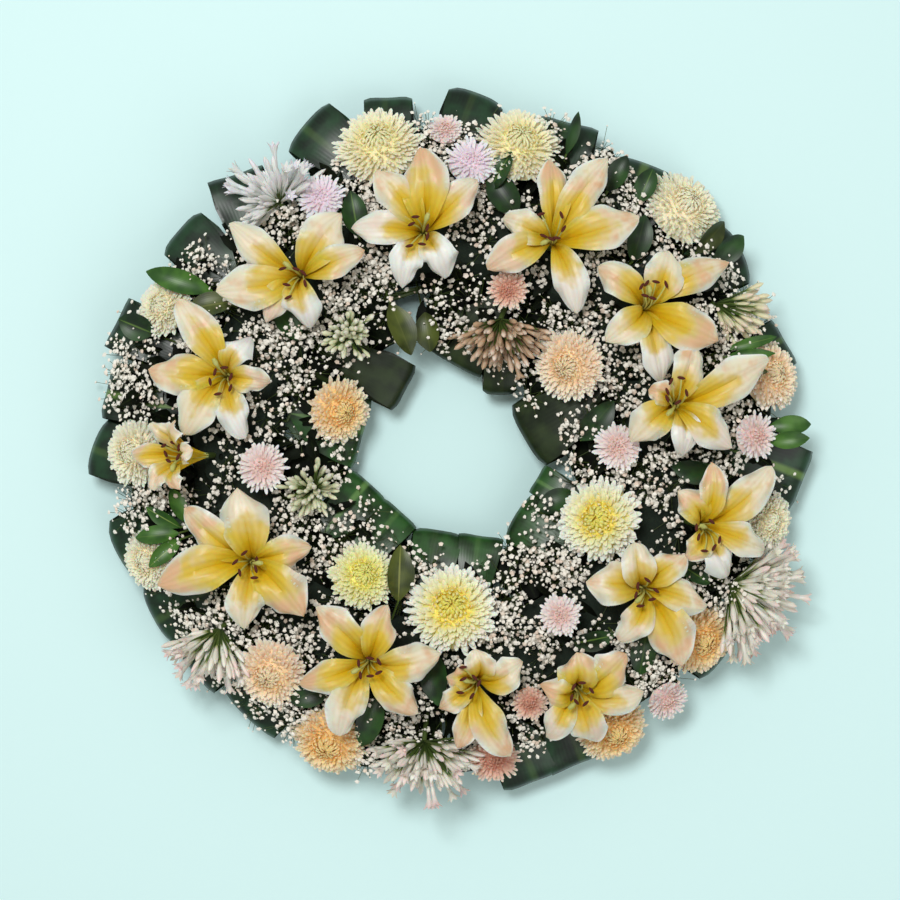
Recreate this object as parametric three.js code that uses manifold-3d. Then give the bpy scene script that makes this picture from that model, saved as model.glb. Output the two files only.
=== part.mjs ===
// A funeral wreath, lying on its back with the flowers facing up.
// A ring of wet floral foam sits in a plastic tray. Lilies, chrysanthemums, daisies, agapanthus and
// gypsophila are pushed into the foam by their stems, and sprigs of folded leaves edge it inside and out.
// Millimetres, +Z is up and out of the face, +Y is twelve o'clock, the origin is under the ring's centre.

import * as THREE from 'three';
import { mergeVertices } from 'three/addons/utils/BufferGeometryUtils.js';
import Module from 'manifold-3d';

const wasm = await Module();
wasm.setup();

// ---- Driving dimensions ----

const RING_RADIUS = 220; // centre line of the foam
const FOAM_WIDTH = 86;
const FOAM_TOP = 65; // above the table
const FOAM_CHAMFER = 14;
const TRAY_FLOOR = 2.5;
const TRAY_WALL = 2.5;
const TRAY_TOP = 20;
const RING_SIDES = 40;

const GAP = 0.3; // clearance between pieces that touch
const STEM_DEPTH = 30; // height above the table at which stems end inside the foam
const STEM_GATHER = 0.22; // how far stem ends follow their flower off the centre line

const LILY_STEM = 3.2;
const LILY_HEEL = 40; // from the throat down to the foot of the cup
const CUP_RADIUS = 11; // where the petals leave the cup
const CUP_HEIGHT = 24;
const PETAL_THICKNESS = 1.8;
const CHRYSANTHEMUM_STEM = 2.6;
const DAISY_STEM = 1.6;
const AGAPANTHUS_STEM = 2.4;
const PEDICEL = 1.3;
const BUD = { length: 25, radius: 3.4 };

const LEAF_THICKNESS = 1.4;
const TWIG = 2;
const TWIG_HEIGHT = 27; // clear of the tray's rim
const OUTER_TWIG_RADIUS = 270;
const INNER_TWIG_RADIUS = 170;

// ---- The arrangement ----

// A lily stands at a point of the ring. Its six petals are [direction in degrees, reach, half width].
const LILIES = [
  { at: [-150, 175], petals: [[20, 69, 16], [55, 73, 21], [144, 86, 16], [192, 84, 22], [235, 58, 15], [281, 54, 20]] },
  { at: [-27, 218], petals: [[43, 74, 15], [92, 81, 22], [128, 75, 18], [178, 71, 20], [250, 60, 15], [295, 52, 19]] },
  { at: [103, 210], petals: [[15, 88, 22], [56, 97, 16], [92, 80, 17], [158, 54, 15], [205, 72, 20], [288, 77, 16]] },
  { at: [198, 145], petals: [[28, 93, 16], [69, 57, 20], [144, 63, 16], [221, 57, 20], [280, 78, 15], [333, 78, 22]] },
  { at: [225, 45], petals: [[26, 103, 21], [73, 63, 15], [153, 32, 13], [219, 58, 20], [278, 51, 15], [323, 71, 20]] },
  { at: [258, -78], petals: [[42, 90, 22], [90, 66, 13], [132, 50, 19], [230, 38, 14], [300, 57, 19], [340, 66, 15]] },
  { at: [195, -140], petals: [[44, 56, 15], [108, 54, 19], [171, 61, 20], [236, 57, 15], [294, 82, 20], [348, 64, 16]] },
  { at: [130, -245], petals: [[0, 65, 16], [44, 62, 20], [98, 47, 21], [162, 42, 15], [237, 56, 14], [285, 53, 20]] },
  { at: [26, -232], petals: [[26, 51, 20], [92, 36, 15], [160, 45, 20], [225, 44, 15], [256, 67, 19], [295, 81, 16]] },
  { at: [-82, -212], petals: [[8, 73, 21], [71, 62, 16], [132, 76, 20], [197, 71, 16], [249, 78, 21], [315, 71, 16]] },
  { at: [-200, -112], petals: [[14, 64, 17], [98, 75, 24], [140, 84, 17], [194, 93, 24], [266, 66, 17], [316, 76, 24]] },
  { at: [-264, -8], lean: 48, open: 30, petals: [[20, 42, 10], [80, 44, 13], [140, 48, 10], [200, 48, 13], [260, 44, 10], [320, 42, 13]] },
  { at: [-225, 75], petals: [[56, 46, 15], [121, 88, 19], [176, 76, 21], [236, 72, 20], [288, 66, 15], [350, 46, 17]] },
];

// Chrysanthemum heads: centre x, y and radius.
const CHRYSANTHEMUMS = [
  [-72, 308, 44], [70, 308, 43], [233, 240, 38], [120, 85, 36], [150, -70, 40], [2, -160, 44],
  [-88, -127, 33], [-112, 40, 33], [-320, -2, 33], [-290, 145, 30], [-305, -112, 30], [-180, -225, 36],
  [-122, -295, 38], [165, -284, 36], [253, -192, 36], [325, 76, 35], [322, -72, 30],
];

// Daisy heads: centre x, y and radius.
const DAISIES = [
  [22, 292, 26], [58, 160, 20], [-187, -17, 25], [167, 3, 24], [110, -165, 21],
  [-130, 255, 24], [310, 14, 24], [80, -254, 18], [45, -315, 26], [222, -256, 22],
];

// Agapanthus heads: the hub, then the fan of directions in degrees that the florets fill.
const AGAPANTHUS = [
  { at: [-178, 262], fan: [50, 215], count: 7, length: 54, rise: 15 },
  { at: [-102, 116], fan: [0, 360], count: 7, length: 34, rise: 38 },
  { at: [52, 112], fan: [160, 400], count: 6, length: 36, rise: 8 },
  { at: [-138, -40], fan: [0, 360], count: 7, length: 36, rise: 42 },
  { at: [-236, -187], fan: [205, 300], count: 6, length: 62, rise: -6 },
  { at: [-28, -293], fan: [226, 322], count: 6, length: 70, rise: -10 },
  { at: [290, -140], fan: [-62, 26], count: 7, length: 68, rise: -4 },
  { at: [272, 152], fan: [-60, 12], count: 6, length: 54, rise: -2 },
];

// Leaf sprigs: each leaf is [direction in degrees from the ring's centre, radius of its fold, half width].
const OUTER_SPRIGS = [
  [[3, 366, 34], [18, 356, 32], [34, 362, 36]],
  [[53, 352, 38], [70, 362, 34], [86, 366, 38]],
  [[98, 362, 30], [110, 368, 38], [132, 360, 40]],
  [[147, 356, 32], [159, 360, 32], [183, 367, 46]],
  [[196, 354, 36], [208, 344, 34], [220, 344, 36], [233, 340, 32]],
  [[284, 348, 36], [297, 344, 36], [323, 348, 34], [349, 362, 40]],
];
const INNER_SPRIGS = [
  [[18, 86, 20], [48, 80, 18], [98, 96, 24], [145, 76, 22]],
  [[-12, 98, 24], [-42, 100, 26], [-74, 94, 24]],
  [[-106, 88, 24], [-140, 98, 26], [-171, 96, 22]],
];

const GYPSOPHILA = { at: [-248, 215], fan: [100, 200], count: 6, length: 46 };

// ---- Frames ----

const UP = new THREE.Vector3(0, 0, 1);
const radians = THREE.MathUtils.degToRad;

function polar(degrees, radius, height) {
  const angle = radians(degrees);
  return new THREE.Vector3(radius * Math.cos(angle), radius * Math.sin(angle), height);
}

// The way a flower faces: outwards past the ring's centre line, inwards before it.
function facing([x, y], degreesPerMillimetre, fixedLean) {
  const lean = radians(fixedLean ?? (Math.hypot(x, y) - RING_RADIUS) * degreesPerMillimetre);
  const bearing = Math.atan2(y, x);
  return new THREE.Vector3(
    Math.sin(lean) * Math.cos(bearing),
    Math.sin(lean) * Math.sin(bearing),
    Math.cos(lean),
  );
}

// Flower heads stand highest over the ring's centre line and fall away on both sides of it.
function crown([x, y], top, fall) {
  return top - fall * (Math.hypot(x, y) - RING_RADIUS) ** 2;
}

// Where a flower's stem ends, inside the foam.
function anchor([x, y]) {
  const radius = RING_RADIUS + (Math.hypot(x, y) - RING_RADIUS) * STEM_GATHER;
  return new THREE.Vector3(x, y, 0).setLength(radius).setZ(STEM_DEPTH);
}

// ---- Solids ----

function solid(geometry) {
  geometry.deleteAttribute('normal');
  geometry.deleteAttribute('uv');
  const merged = mergeVertices(geometry);
  const mesh = new wasm.Mesh({
    numProp: 3,
    vertProperties: merged.attributes.position.array,
    triVerts: Uint32Array.from(merged.index.array),
  });
  return new wasm.Manifold(mesh);
}

function geometryOf(body) {
  const { vertProperties, triVerts } = body.getMesh();
  const geometry = new THREE.BufferGeometry();
  geometry.setAttribute('position', new THREE.BufferAttribute(vertProperties, 3));
  geometry.setIndex(new THREE.BufferAttribute(triVerts, 1));
  geometry.computeVertexNormals();
  return geometry;
}

const join = (bodies) => bodies.reduce((whole, body) => whole.add(body));

// Stands a geometry made along +Z on a point, pointing along a direction.
function stand(geometry, point, direction) {
  const turn = new THREE.Quaternion().setFromUnitVectors(UP, direction.clone().normalize());
  return geometry.applyQuaternion(turn).translate(point.x, point.y, point.z);
}

function rod(from, to, radius, sides = 6) {
  const along = to.clone().sub(from);
  const length = along.length();
  const geometry = new THREE.CylinderGeometry(radius, radius, length, sides);
  geometry.rotateX(Math.PI / 2).translate(0, 0, length / 2);
  return solid(stand(geometry, from, along));
}

// A flower's stem, from its end inside the foam up to a point of the flower.
function stem(place, top, radius, margin, sides) {
  const end = anchor(place);
  const along = top.clone().sub(end).normalize();
  return rod(end.addScaledVector(along, -margin), top, radius + margin, sides);
}

// A body of revolution from [radius, height] points, turned about +Z.
function turned(profile, segments) {
  const points = profile.map(([radius, height]) => new THREE.Vector2(radius, height));
  return new THREE.LatheGeometry(points, segments).rotateX(Math.PI / 2);
}

// A closed body skinned over columns of corners, each from its bottom point to its top. Quads before the rim
// row and after it are split along mirrored diagonals, so that the two faces of a thin petal never cross.
function skinned(columns, rimRow) {
  const rows = columns[0].length;
  const index = [];
  columns.forEach((_, column) => {
    const near = column * rows;
    const far = ((column + 1) % columns.length) * rows;
    for (let row = 0; row < rows - 1; row++) {
      const [a, b, c, d] = [near + row, near + row + 1, far + row + 1, far + row];
      const mirrored = (column % 4 < 2) === (row < rimRow);
      index.push(...(mirrored ? [a, d, b, d, c, b] : [a, d, c, a, c, b]));
    }
  });
  const geometry = new THREE.BufferGeometry().setFromPoints(columns.flat());
  geometry.setIndex(index);
  return solid(geometry);
}

// Draws every second corner of a turned head inwards, so that its rim reads as petals.
function scallop(geometry, petals, depth) {
  const position = geometry.attributes.position;
  for (let i = 0; i < position.count; i++) {
    const angle = Math.atan2(position.getY(i), position.getX(i));
    const shrink = 1 - depth * (0.5 - 0.5 * Math.cos(petals * angle));
    position.setXY(i, position.getX(i) * shrink, position.getY(i) * shrink);
  }
  return geometry;
}

// A thin closed sheet over surface(u, t), with u from -1 to 1 across it and t from 0 to 1 along it.
function sheet(surface, thickness, alongSteps) {
  const geometry = new THREE.BoxGeometry(2, 1, 1, 1, alongSteps, 1);
  const position = geometry.attributes.position;
  const step = 0.01;
  for (let i = 0; i < position.count; i++) {
    const u = position.getX(i);
    const t = position.getY(i) + 0.5;
    const across = surface(u + step, t).sub(surface(u - step, t));
    const along = surface(u, Math.min(t + step, 1)).sub(surface(u, Math.max(t - step, 0)));
    const normal = across.cross(along).normalize();
    const point = surface(u, t).addScaledVector(normal, thickness * position.getZ(i));
    position.setXYZ(i, point.x, point.y, point.z);
  }
  return solid(geometry);
}

// A sheet whose middle line is a curve, widened along one fixed side direction.
function blade(curve, side, halfWidth, thickness, margin, alongSteps) {
  const surface = (u, t) => curve.getPoint(t).addScaledVector(side, u * (halfWidth(t) + margin));
  return sheet(surface, thickness + 2 * margin, alongSteps);
}

// ---- Flowers. Each builder takes a margin: 0 for the flower, GAP for the room it needs. ----

// A lily is one closed shell. Each petal takes four columns: the notch before it, one edge, its middle line
// and the other edge. A column runs from the stem's end up the stem, along the petal's underside to its rim,
// and back over the upper side into the throat.
function lily(plan, margin) {
  const axis = facing(plan.at, 0.3, plan.lean);
  const throat = new THREE.Vector3(...plan.at, crown(plan.at, 126, 0.003));
  const heel = throat.clone().addScaledVector(axis, -LILY_HEEL);
  const stemEnd = anchor(plan.at);
  stemEnd.addScaledVector(heel.clone().sub(stemEnd).normalize(), -margin);
  const half = PETAL_THICKNESS / 2 + margin;
  const petals = plan.petals.map((petal) => lilyPetal(petal, plan.open ?? 0, throat, heel, axis));
  const onCup = (ray, radius, height) => (
    heel.clone().addScaledVector(ray, radius).addScaledVector(axis, height)
  );
  const column = (ray, head) => [
    stemEnd.clone().addScaledVector(ray, LILY_STEM + margin),
    onCup(ray, LILY_STEM + margin, 0),
    ...head,
  ];
  const columns = petals.flatMap((petal, k) => {
    const before = petals.at(k - 1);
    const after = petals[(k + 1) % petals.length];
    const between = (other, share) => petal.outward.clone().lerp(other.outward, share).normalize();
    const edge = (neighbour, hand) => {
      const wedge = Math.tan(petal.outward.angleTo(neighbour.outward) / 2);
      const width = hand * (Math.min(petal.width, wedge * petal.reach * 0.42) + margin);
      const base = hand * Math.min(petal.width * 0.5 + margin, wedge * 14);
      const head = [petal.at(0.25, base, -half), petal.at(0.55, width, 0), petal.at(0.25, base, half)];
      return column(between(neighbour, 0.25), head);
    };
    const notch = between(before, 0.5);
    return [
      column(notch, [
        onCup(notch, CUP_RADIUS + half, CUP_HEIGHT - 5),
        onCup(notch, CUP_RADIUS, CUP_HEIGHT + margin),
        onCup(notch, CUP_RADIUS - half, CUP_HEIGHT - 3 + margin),
      ]),
      edge(before, -1),
      column(petal.outward, [petal.at(0.45, 0, -half), petal.at(1, 0, 0), petal.at(0.45, 0, half)]),
      edge(after, 1),
    ];
  });
  const well = onCup(axis, CUP_HEIGHT - 8, 0);
  return skinned(columns.map((corners) => [stemEnd, ...corners, well]), 4);
}

function lilyPetal([direction, reach, width], open, throat, heel, axis) {
  const outward = polar(direction, 1, 0).projectOnPlane(axis).normalize();
  const side = axis.clone().cross(outward);
  const rise = Math.sin(radians(open)) * reach;
  const spread = Math.cos(radians(open)) * reach;
  const place = (base, out, along) => (
    base.clone().addScaledVector(outward, out).addScaledVector(axis, along)
  );
  const curve = new THREE.CubicBezierCurve3(
    place(heel, CUP_RADIUS, CUP_HEIGHT - 4),
    place(heel, CUP_RADIUS + 4, LILY_HEEL + 4),
    place(throat, spread * 0.6, 18 + rise * 0.6),
    place(throat, spread, rise - 4),
  );
  const at = (t, across, above) => {
    const upward = curve.getTangent(t).cross(side);
    return curve.getPoint(t).addScaledVector(side, across).addScaledVector(upward, above);
  };
  return { outward, reach, width, at };
}

function chrysanthemum([x, y, size], margin) {
  const axis = facing([x, y], 0.42);
  const centre = new THREE.Vector3(x, y, crown([x, y], 96, 0.0027));
  const radius = size + margin;
  const head = turned([
    [0, -0.45 * radius], [0.6 * radius, -0.36 * radius], [radius, -0.02 * radius],
    [0.8 * radius, 0.36 * radius], [0, 0.56 * radius],
  ], 18);
  const bloom = solid(stand(scallop(head, 9, 0.1), centre, axis));
  return bloom.add(stem([x, y], centre, CHRYSANTHEMUM_STEM, margin));
}

function daisy([x, y, size], margin) {
  const axis = facing([x, y], 0.42);
  const centre = new THREE.Vector3(x, y, crown([x, y], 106, 0.003));
  const radius = size + margin;
  const head = turned([
    [0, -3 - margin], [0.5 * radius, -2 - margin], [radius, 1 - margin],
    [radius, 3 + margin], [0.3 * radius, 3 + margin], [0, 7 + margin],
  ], 16);
  const bloom = solid(stand(scallop(head, 8, 0.22), centre, axis));
  return bloom.add(stem([x, y], centre, DAISY_STEM, margin, 5));
}

function agapanthus(plan, margin) {
  const hub = new THREE.Vector3(...plan.at, crown(plan.at, 94, 0.003));
  const hubGeometry = new THREE.IcosahedronGeometry(5 + margin, 0).translate(hub.x, hub.y, hub.z);
  const florets = Array.from({ length: plan.count }, (_, k) => {
    const neck = plan.length - BUD.length;
    const floret = turned([
      [0, 0], [PEDICEL + margin, 0], [PEDICEL + margin, neck - margin],
      [BUD.radius + margin, neck + BUD.length * 0.7], [0, plan.length + margin],
    ], 5);
    return solid(stand(floret, hub, fanDirection(plan, k)));
  });
  return join([solid(hubGeometry), stem(plan.at, hub, AGAPANTHUS_STEM, margin), ...florets]);
}

// The direction of one stalk of a fan: spread evenly sideways, and by turns higher and lower.
function fanDirection({ fan: [from, to], count, rise }, k) {
  const bearing = from + ((to - from) * (k + 0.5)) / count;
  const height = Math.tan(radians(rise + (k % 2 ? 12 : -6)));
  return polar(bearing, 1, height).normalize();
}

function gypsophila(plan, margin) {
  const hub = new THREE.Vector3(...plan.at, crown(plan.at, 84, 0.0038));
  const stalks = [stem(plan.at, hub, PEDICEL, margin, 5)];
  for (let k = 0; k < plan.count; k++) {
    const tip = hub.clone().addScaledVector(fanDirection({ ...plan, rise: 20 }, k), plan.length);
    const floret = new THREE.OctahedronGeometry(3.4 + margin, 0).translate(tip.x, tip.y, tip.z);
    stalks.push(rod(hub, tip, 0.9 + margin, 4), solid(floret));
  }
  return join(stalks);
}

// ---- Leaves: a twig pinned along the foam's side, with leaves folded back over themselves ----

function sprig(leaves, twigRadius, margin) {
  const bearings = leaves.map(([bearing]) => bearing);
  const from = Math.min(...bearings);
  const to = Math.max(...bearings);
  const spur = RING_RADIUS + (twigRadius - RING_RADIUS) * 0.5;
  const spurs = [from, to].map((bearing) => rod(
    polar(bearing, spur + Math.sign(spur - twigRadius) * margin, TWIG_HEIGHT),
    polar(bearing, twigRadius, TWIG_HEIGHT),
    1.5 + margin,
    5,
  ));
  const folded = leaves.map((leaf) => foldedLeaf(leaf, twigRadius, margin));
  return join([twig(from, to, twigRadius, margin), ...spurs, ...folded]);
}

// A five-sided tube along an arc of the ring.
function twig(from, to, radius, margin) {
  const steps = Math.ceil((to - from) / 12);
  const path = new THREE.CatmullRomCurve3(Array.from({ length: steps + 1 }, (_, i) => (
    polar(from + ((to - from) * i) / steps, radius, TWIG_HEIGHT)
  )));
  const corners = Array.from({ length: 5 }, (_, i) => (
    new THREE.Vector2(0, TWIG + margin).rotateAround(new THREE.Vector2(), (i * 2 * Math.PI) / 5)
  ));
  const tube = { steps, extrudePath: path };
  return solid(new THREE.ExtrudeGeometry(new THREE.Shape(corners), tube));
}

// The leaf leaves the twig, runs to its fold and comes back over itself, up to the flowers.
function foldedLeaf([bearing, foldRadius, width], twigRadius, margin) {
  const way = Math.sign(foldRadius - twigRadius);
  const run = Math.abs(foldRadius - twigRadius);
  const point = (distance, height) => polar(bearing, twigRadius + way * distance, height);
  const curve = new THREE.CatmullRomCurve3([
    point(-1, TWIG_HEIGHT),
    point(run * 0.6, TWIG_HEIGHT - 1),
    point(run, TWIG_HEIGHT + 5),
    point(run * 0.7, TWIG_HEIGHT + 11),
    point(run * 0.4, TWIG_HEIGHT + 14),
  ]);
  const side = polar(bearing + 90, 1, 0);
  const halfWidth = (t) => width * (0.35 + 0.65 * Math.sin(Math.PI * Math.min(0.14 + 0.78 * t, 1)));
  return blade(curve, side, halfWidth, LEAF_THICKNESS, margin, 6);
}

// ---- Tray and foam ----

const innerRadius = RING_RADIUS - FOAM_WIDTH / 2;
const outerRadius = RING_RADIUS + FOAM_WIDTH / 2;

function baseTray() {
  const inside = innerRadius - GAP;
  const outside = outerRadius + GAP;
  return solid(turned([
    [inside - TRAY_WALL, 0], [outside + TRAY_WALL, 0], [outside + TRAY_WALL, TRAY_TOP], [outside, TRAY_TOP],
    [outside, TRAY_FLOOR], [inside, TRAY_FLOOR], [inside, TRAY_TOP], [inside - TRAY_WALL, TRAY_TOP],
    [inside - TRAY_WALL, 0],
  ], RING_SIDES));
}

function foamRing() {
  const bottom = TRAY_FLOOR + GAP;
  return solid(turned([
    [innerRadius, bottom], [outerRadius, bottom], [outerRadius, FOAM_TOP - FOAM_CHAMFER],
    [outerRadius - FOAM_CHAMFER, FOAM_TOP], [innerRadius + FOAM_CHAMFER, FOAM_TOP],
    [innerRadius, FOAM_TOP - FOAM_CHAMFER], [innerRadius, bottom],
  ], RING_SIDES));
}

// ---- Putting it together ----

const MATERIALS = {
  tray: { color: 0x24352b, roughness: 0.55 },
  foam: { color: 0x2f5a3c, roughness: 0.95 },
  lily: { color: 0xefdcbe, roughness: 0.5 },
  chrysanthemum: { color: 0xf2dfb0, roughness: 0.7 },
  daisy: { color: 0xeecbd2, roughness: 0.65 },
  agapanthus: { color: 0xf1efe4, roughness: 0.55 },
  gypsophila: { color: 0xf6f5ee, roughness: 0.8 },
  leaf: { color: 0x24452c, roughness: 0.35 },
};

const wreath = new THREE.Group();
const settled = [];

function touches(a, b) {
  const boxA = a.boundingBox();
  const boxB = b.boundingBox();
  return [0, 1, 2].every((i) => boxA.min[i] < boxB.max[i] && boxB.min[i] < boxA.max[i]);
}

function addMesh(name, body, material) {
  const mesh = new THREE.Mesh(geometryOf(body), new THREE.MeshStandardMaterial(MATERIALS[material]));
  mesh.name = name;
  wreath.add(mesh);
}

// Settles a piece among those before it: what they already fill is cut away, and the main body stays.
function settle(name, material, build) {
  const room = build(GAP);
  const cut = settled
    .filter((other) => touches(other, room))
    .reduce((body, other) => body.subtract(other), build(0));
  const body = cut.decompose().sort((a, b) => b.volume() - a.volume())[0];
  settled.push(room);
  addMesh(name, body, material);
}

function settleAll(name, material, plans, build) {
  plans.forEach((plan, i) => {
    const number = String(i + 1).padStart(2, '0');
    settle(`${name}_${number}`, material, (margin) => build(plan, margin));
  });
}

settleAll('chrysanthemum', 'chrysanthemum', CHRYSANTHEMUMS, chrysanthemum);
settleAll('daisy', 'daisy', DAISIES, daisy);
settleAll('lily', 'lily', LILIES, lily);
settleAll('agapanthus', 'agapanthus', AGAPANTHUS, agapanthus);
settleAll('outer_leaves', 'leaf', OUTER_SPRIGS, (leaves, margin) => sprig(leaves, OUTER_TWIG_RADIUS, margin));
settleAll('inner_leaves', 'leaf', INNER_SPRIGS, (leaves, margin) => sprig(leaves, INNER_TWIG_RADIUS, margin));
settle('gypsophila_spray', 'gypsophila', (margin) => gypsophila(GYPSOPHILA, margin));

const foam = settled.reduce((body, piece) => body.subtract(piece), foamRing());
addMesh('foam_ring', foam, 'foam');
addMesh('base_tray', baseTray(), 'tray');

export default wreath;
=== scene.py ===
"""A funeral wreath, dressed for a render: lilies, chrysanthemums, daisies, agapanthus, gypsophila and
folded leaves on a foam ring in its tray. Flowers are placed in millimetres, in the wreath's own frame:
+X right, +Y towards twelve o'clock, +Z out of the face."""

import math

import bpy
import numpy as np
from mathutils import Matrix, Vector


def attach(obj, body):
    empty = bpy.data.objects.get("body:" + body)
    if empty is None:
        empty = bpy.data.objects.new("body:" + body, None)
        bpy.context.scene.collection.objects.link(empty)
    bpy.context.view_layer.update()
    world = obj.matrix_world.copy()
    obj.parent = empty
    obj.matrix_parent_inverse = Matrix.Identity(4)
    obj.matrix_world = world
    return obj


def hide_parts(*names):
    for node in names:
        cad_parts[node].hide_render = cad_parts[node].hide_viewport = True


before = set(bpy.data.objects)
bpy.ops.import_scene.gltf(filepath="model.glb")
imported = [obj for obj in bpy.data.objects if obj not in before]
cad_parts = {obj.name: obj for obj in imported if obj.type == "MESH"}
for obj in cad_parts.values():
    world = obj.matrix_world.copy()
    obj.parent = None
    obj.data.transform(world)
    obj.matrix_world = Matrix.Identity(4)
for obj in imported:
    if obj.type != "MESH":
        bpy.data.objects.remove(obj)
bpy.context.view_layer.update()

bl_info = {
    "name": "Funeral Wreath",
    "version": (1, 0, 0),
    "blender": (4, 5, 0),
    "location": "View3D > Sidebar > Wreath",
    "description": "Builds a funeral wreath of lilies, chrysanthemums and gypsophila on a foam ring",
    "category": "Add Mesh",
}

MM = 0.001
GOLDEN_ANGLE = math.pi * (3 - math.sqrt(5))

# ---- The arrangement, in millimetres and degrees ----

RING_RADIUS = 220.0
FOAM_WIDTH = 86.0
# The tray: wall, height, clearance round the foam, bevel at the foot and radius of the rim's bead.
TRAY_WALL = 2.5
TRAY_TOP = 20.0
TRAY_CLEARANCE = 0.3
TRAY_BEVEL = 1.2
TRAY_BEAD = 1.25
# A stem ends at this height, and this share of its flower's way from the ring's centre line.
STEM_DEPTH = 30.0
STEM_GATHER = 0.22
LILY_HEEL = 40.0
LILY_STEM = 3.1
AGAPANTHUS_STEM = 2.6

# A lily's stamens: radius of a filament, half length and half width of an anther, and the pistil's radii.
FILAMENT = 0.8
ANTHER = (4.2, 1.6)
PISTIL = [1.6, 1.5, 1.3, 1.2, 1.2, 1.2, 1.3, 1.8, 2.8, 1.8]

# How high flowers stand over the ring's centre line, and how that falls with the square of the way from it.
LILY_HEIGHT = (126, 0.003)
AGAPANTHUS_HEIGHT = (94, 0.003)
SINGLE_LEAF_HEIGHT = (84, 0.0017)
GYPSOPHILA_HEIGHT = (86, 0.0015)

# How much a flower leans out, in degrees for each millimetre past the ring's centre line.
LILY_LEAN = 0.3
HEAD_LEAN = 0.32

# The two kinds of full head: petals, how far they spread past the head's radius, height, dome and stem.
CHRYSANTHEMUM_HEAD = {"petals": 320, "spread": 1.12, "height": (96, 0.0027), "dome": 0.42, "stem": 2.5}
DAISY_HEAD = {"petals": 100, "spread": 1.14, "height": (106, 0.003), "dome": 0.16, "stem": 1.5}
DAISY_BLADE = 1.8
BROAD_BLADE = 1.25

# Curves along a petal or leaf, as steps from foot to tip and values there, in shares of the half width.
LILY_WIDTH = ([0, 0.2, 0.4, 0.53, 0.64, 1.0], [0.1, 0.26, 0.64, 0.92, 1.0, 1.0])
LILY_CHANNEL = ([0, 0.3, 0.5, 0.75, 1.0], [0.9, 0.75, 0.5, 0.25, 0.3])
LILY_ROLL = ([0, 0.4, 0.62, 0.85, 1.0], [0, 0.1, 0.7, 1.0, 0.8])
FOLDED_LEAF_WIDTH = ([0, 0.15, 0.35, 0.5, 0.65, 0.85, 1.0], [0.35, 0.8, 1.0, 0.96, 0.9, 0.7, 0.1])
SMALL_LEAF_WIDTH = (np.linspace(0, 1, 8), [0.1, 0.55, 0.88, 1, 0.97, 0.8, 0.48, 0.05])
BUD_WIDTH = [0.35, 0.6, 0.72, 1.0, 0.75, 0.12]
OPEN_FLORET_WIDTH = [0.35, 0.55, 0.62, 0.75, 0.85, 0.6]

# A lily: where its throat stands, and its petals as (direction, reach, half width, droop of the tip).
LILIES = [
    {"at": (-150, 175), "petals": [(20, 69, 18, 8), (55, 73, 24, 6), (144, 86, 18, 6), (192, 84, 24, 4),
                                   (235, 58, 17, 12), (281, 54, 21, 20)]},
    {"at": (-27, 218), "petals": [(43, 74, 19, 10), (92, 81, 26, 0), (128, 75, 21, 4), (178, 71, 19, 14),
                                  (250, 60, 18, 18), (295, 52, 20, 18)]},
    {"at": (103, 210), "petals": [(15, 88, 24, 6), (56, 97, 20, 6), (92, 80, 18, 8), (158, 54, 18, 8),
                                  (205, 72, 20, 10), (288, 77, 19, 16)]},
    {"at": (198, 145), "petals": [(28, 93, 19, 8), (69, 57, 22, 4), (144, 63, 19, 6), (221, 57, 20, 8),
                                  (280, 78, 18, 16), (333, 78, 25, 6)]},
    {"at": (225, 45), "petals": [(26, 103, 22, 6), (73, 63, 18, 4), (153, 32, 14, 0), (219, 58, 22, 8),
                                 (278, 51, 17, 16), (323, 71, 21, 14)]},
    {"at": (258, -78), "petals": [(42, 90, 21, 4), (90, 66, 15, 0), (132, 50, 19, 4), (230, 38, 15, 6),
                                  (300, 57, 20, 20), (340, 66, 18, 10)]},
    {"at": (195, -140), "petals": [(43, 52, 18, 4), (105, 50, 20, 2), (171, 61, 23, 4), (242, 57, 18, 10),
                                   (296, 84, 25, 8), (346, 64, 19, 8)]},
    {"at": (130, -245), "petals": [(0, 65, 19, 6), (44, 62, 23, 4), (98, 47, 24, 0), (162, 42, 17, 6),
                                   (237, 56, 17, 12), (285, 53, 22, 12)]},
    {"at": (26, -232), "petals": [(26, 51, 18, 4), (92, 36, 17, -4), (168, 30, 14, 8), (215, 44, 14, 6),
                                  (254, 67, 14, 6), (295, 81, 20, 8)]},
    {"at": (-82, -212), "petals": [(8, 73, 21, 6), (71, 62, 19, 4), (132, 76, 21, 4), (197, 71, 18, 8),
                                   (249, 78, 22, 10), (315, 71, 19, 8)]},
    {"at": (-200, -112), "petals": [(14, 64, 19, 8), (98, 75, 27, 0), (140, 84, 20, 8), (194, 93, 26, 4),
                                    (266, 66, 21, 8), (316, 76, 26, 6)]},
    {"at": (-270, -6), "lean": 40, "open": 24,
     "petals": [(8, 40, 12, 2), (62, 42, 12, 0), (124, 42, 12, 0), (182, 50, 13, 2), (236, 42, 12, 2),
                (302, 40, 12, 4)]},
    {"at": (-225, 75), "petals": [(56, 46, 17, 18), (121, 88, 20, 4), (176, 76, 23, 6), (236, 72, 22, 8),
                                  (288, 66, 18, 18), (350, 46, 15, 10)]},
]

# A chrysanthemum head: centre, radius and colouring.
CHRYSANTHEMUMS = [
    ((-72, 308), 44, "pale_yellow"), ((70, 308), 43, "pale_yellow"), ((238, 246), 42, "cream"),
    ((120, 85), 36, "peach"), ((150, -70), 40, "yellow_eyed"), ((2, -160), 44, "yellow_eyed"),
    ((-88, -127), 33, "lemon"), ((-112, 40), 33, "apricot"), ((-320, -2), 33, "cream"),
    ((-290, 145), 30, "cream"), ((-305, -112), 30, "cream"), ((-180, -225), 36, "peach"),
    ((-122, -295), 38, "apricot"), ((165, -284), 36, "apricot"), ((253, -192), 36, "apricot"),
    ((325, 76), 35, "peach"), ((322, -72), 30, "cream"),
]

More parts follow.
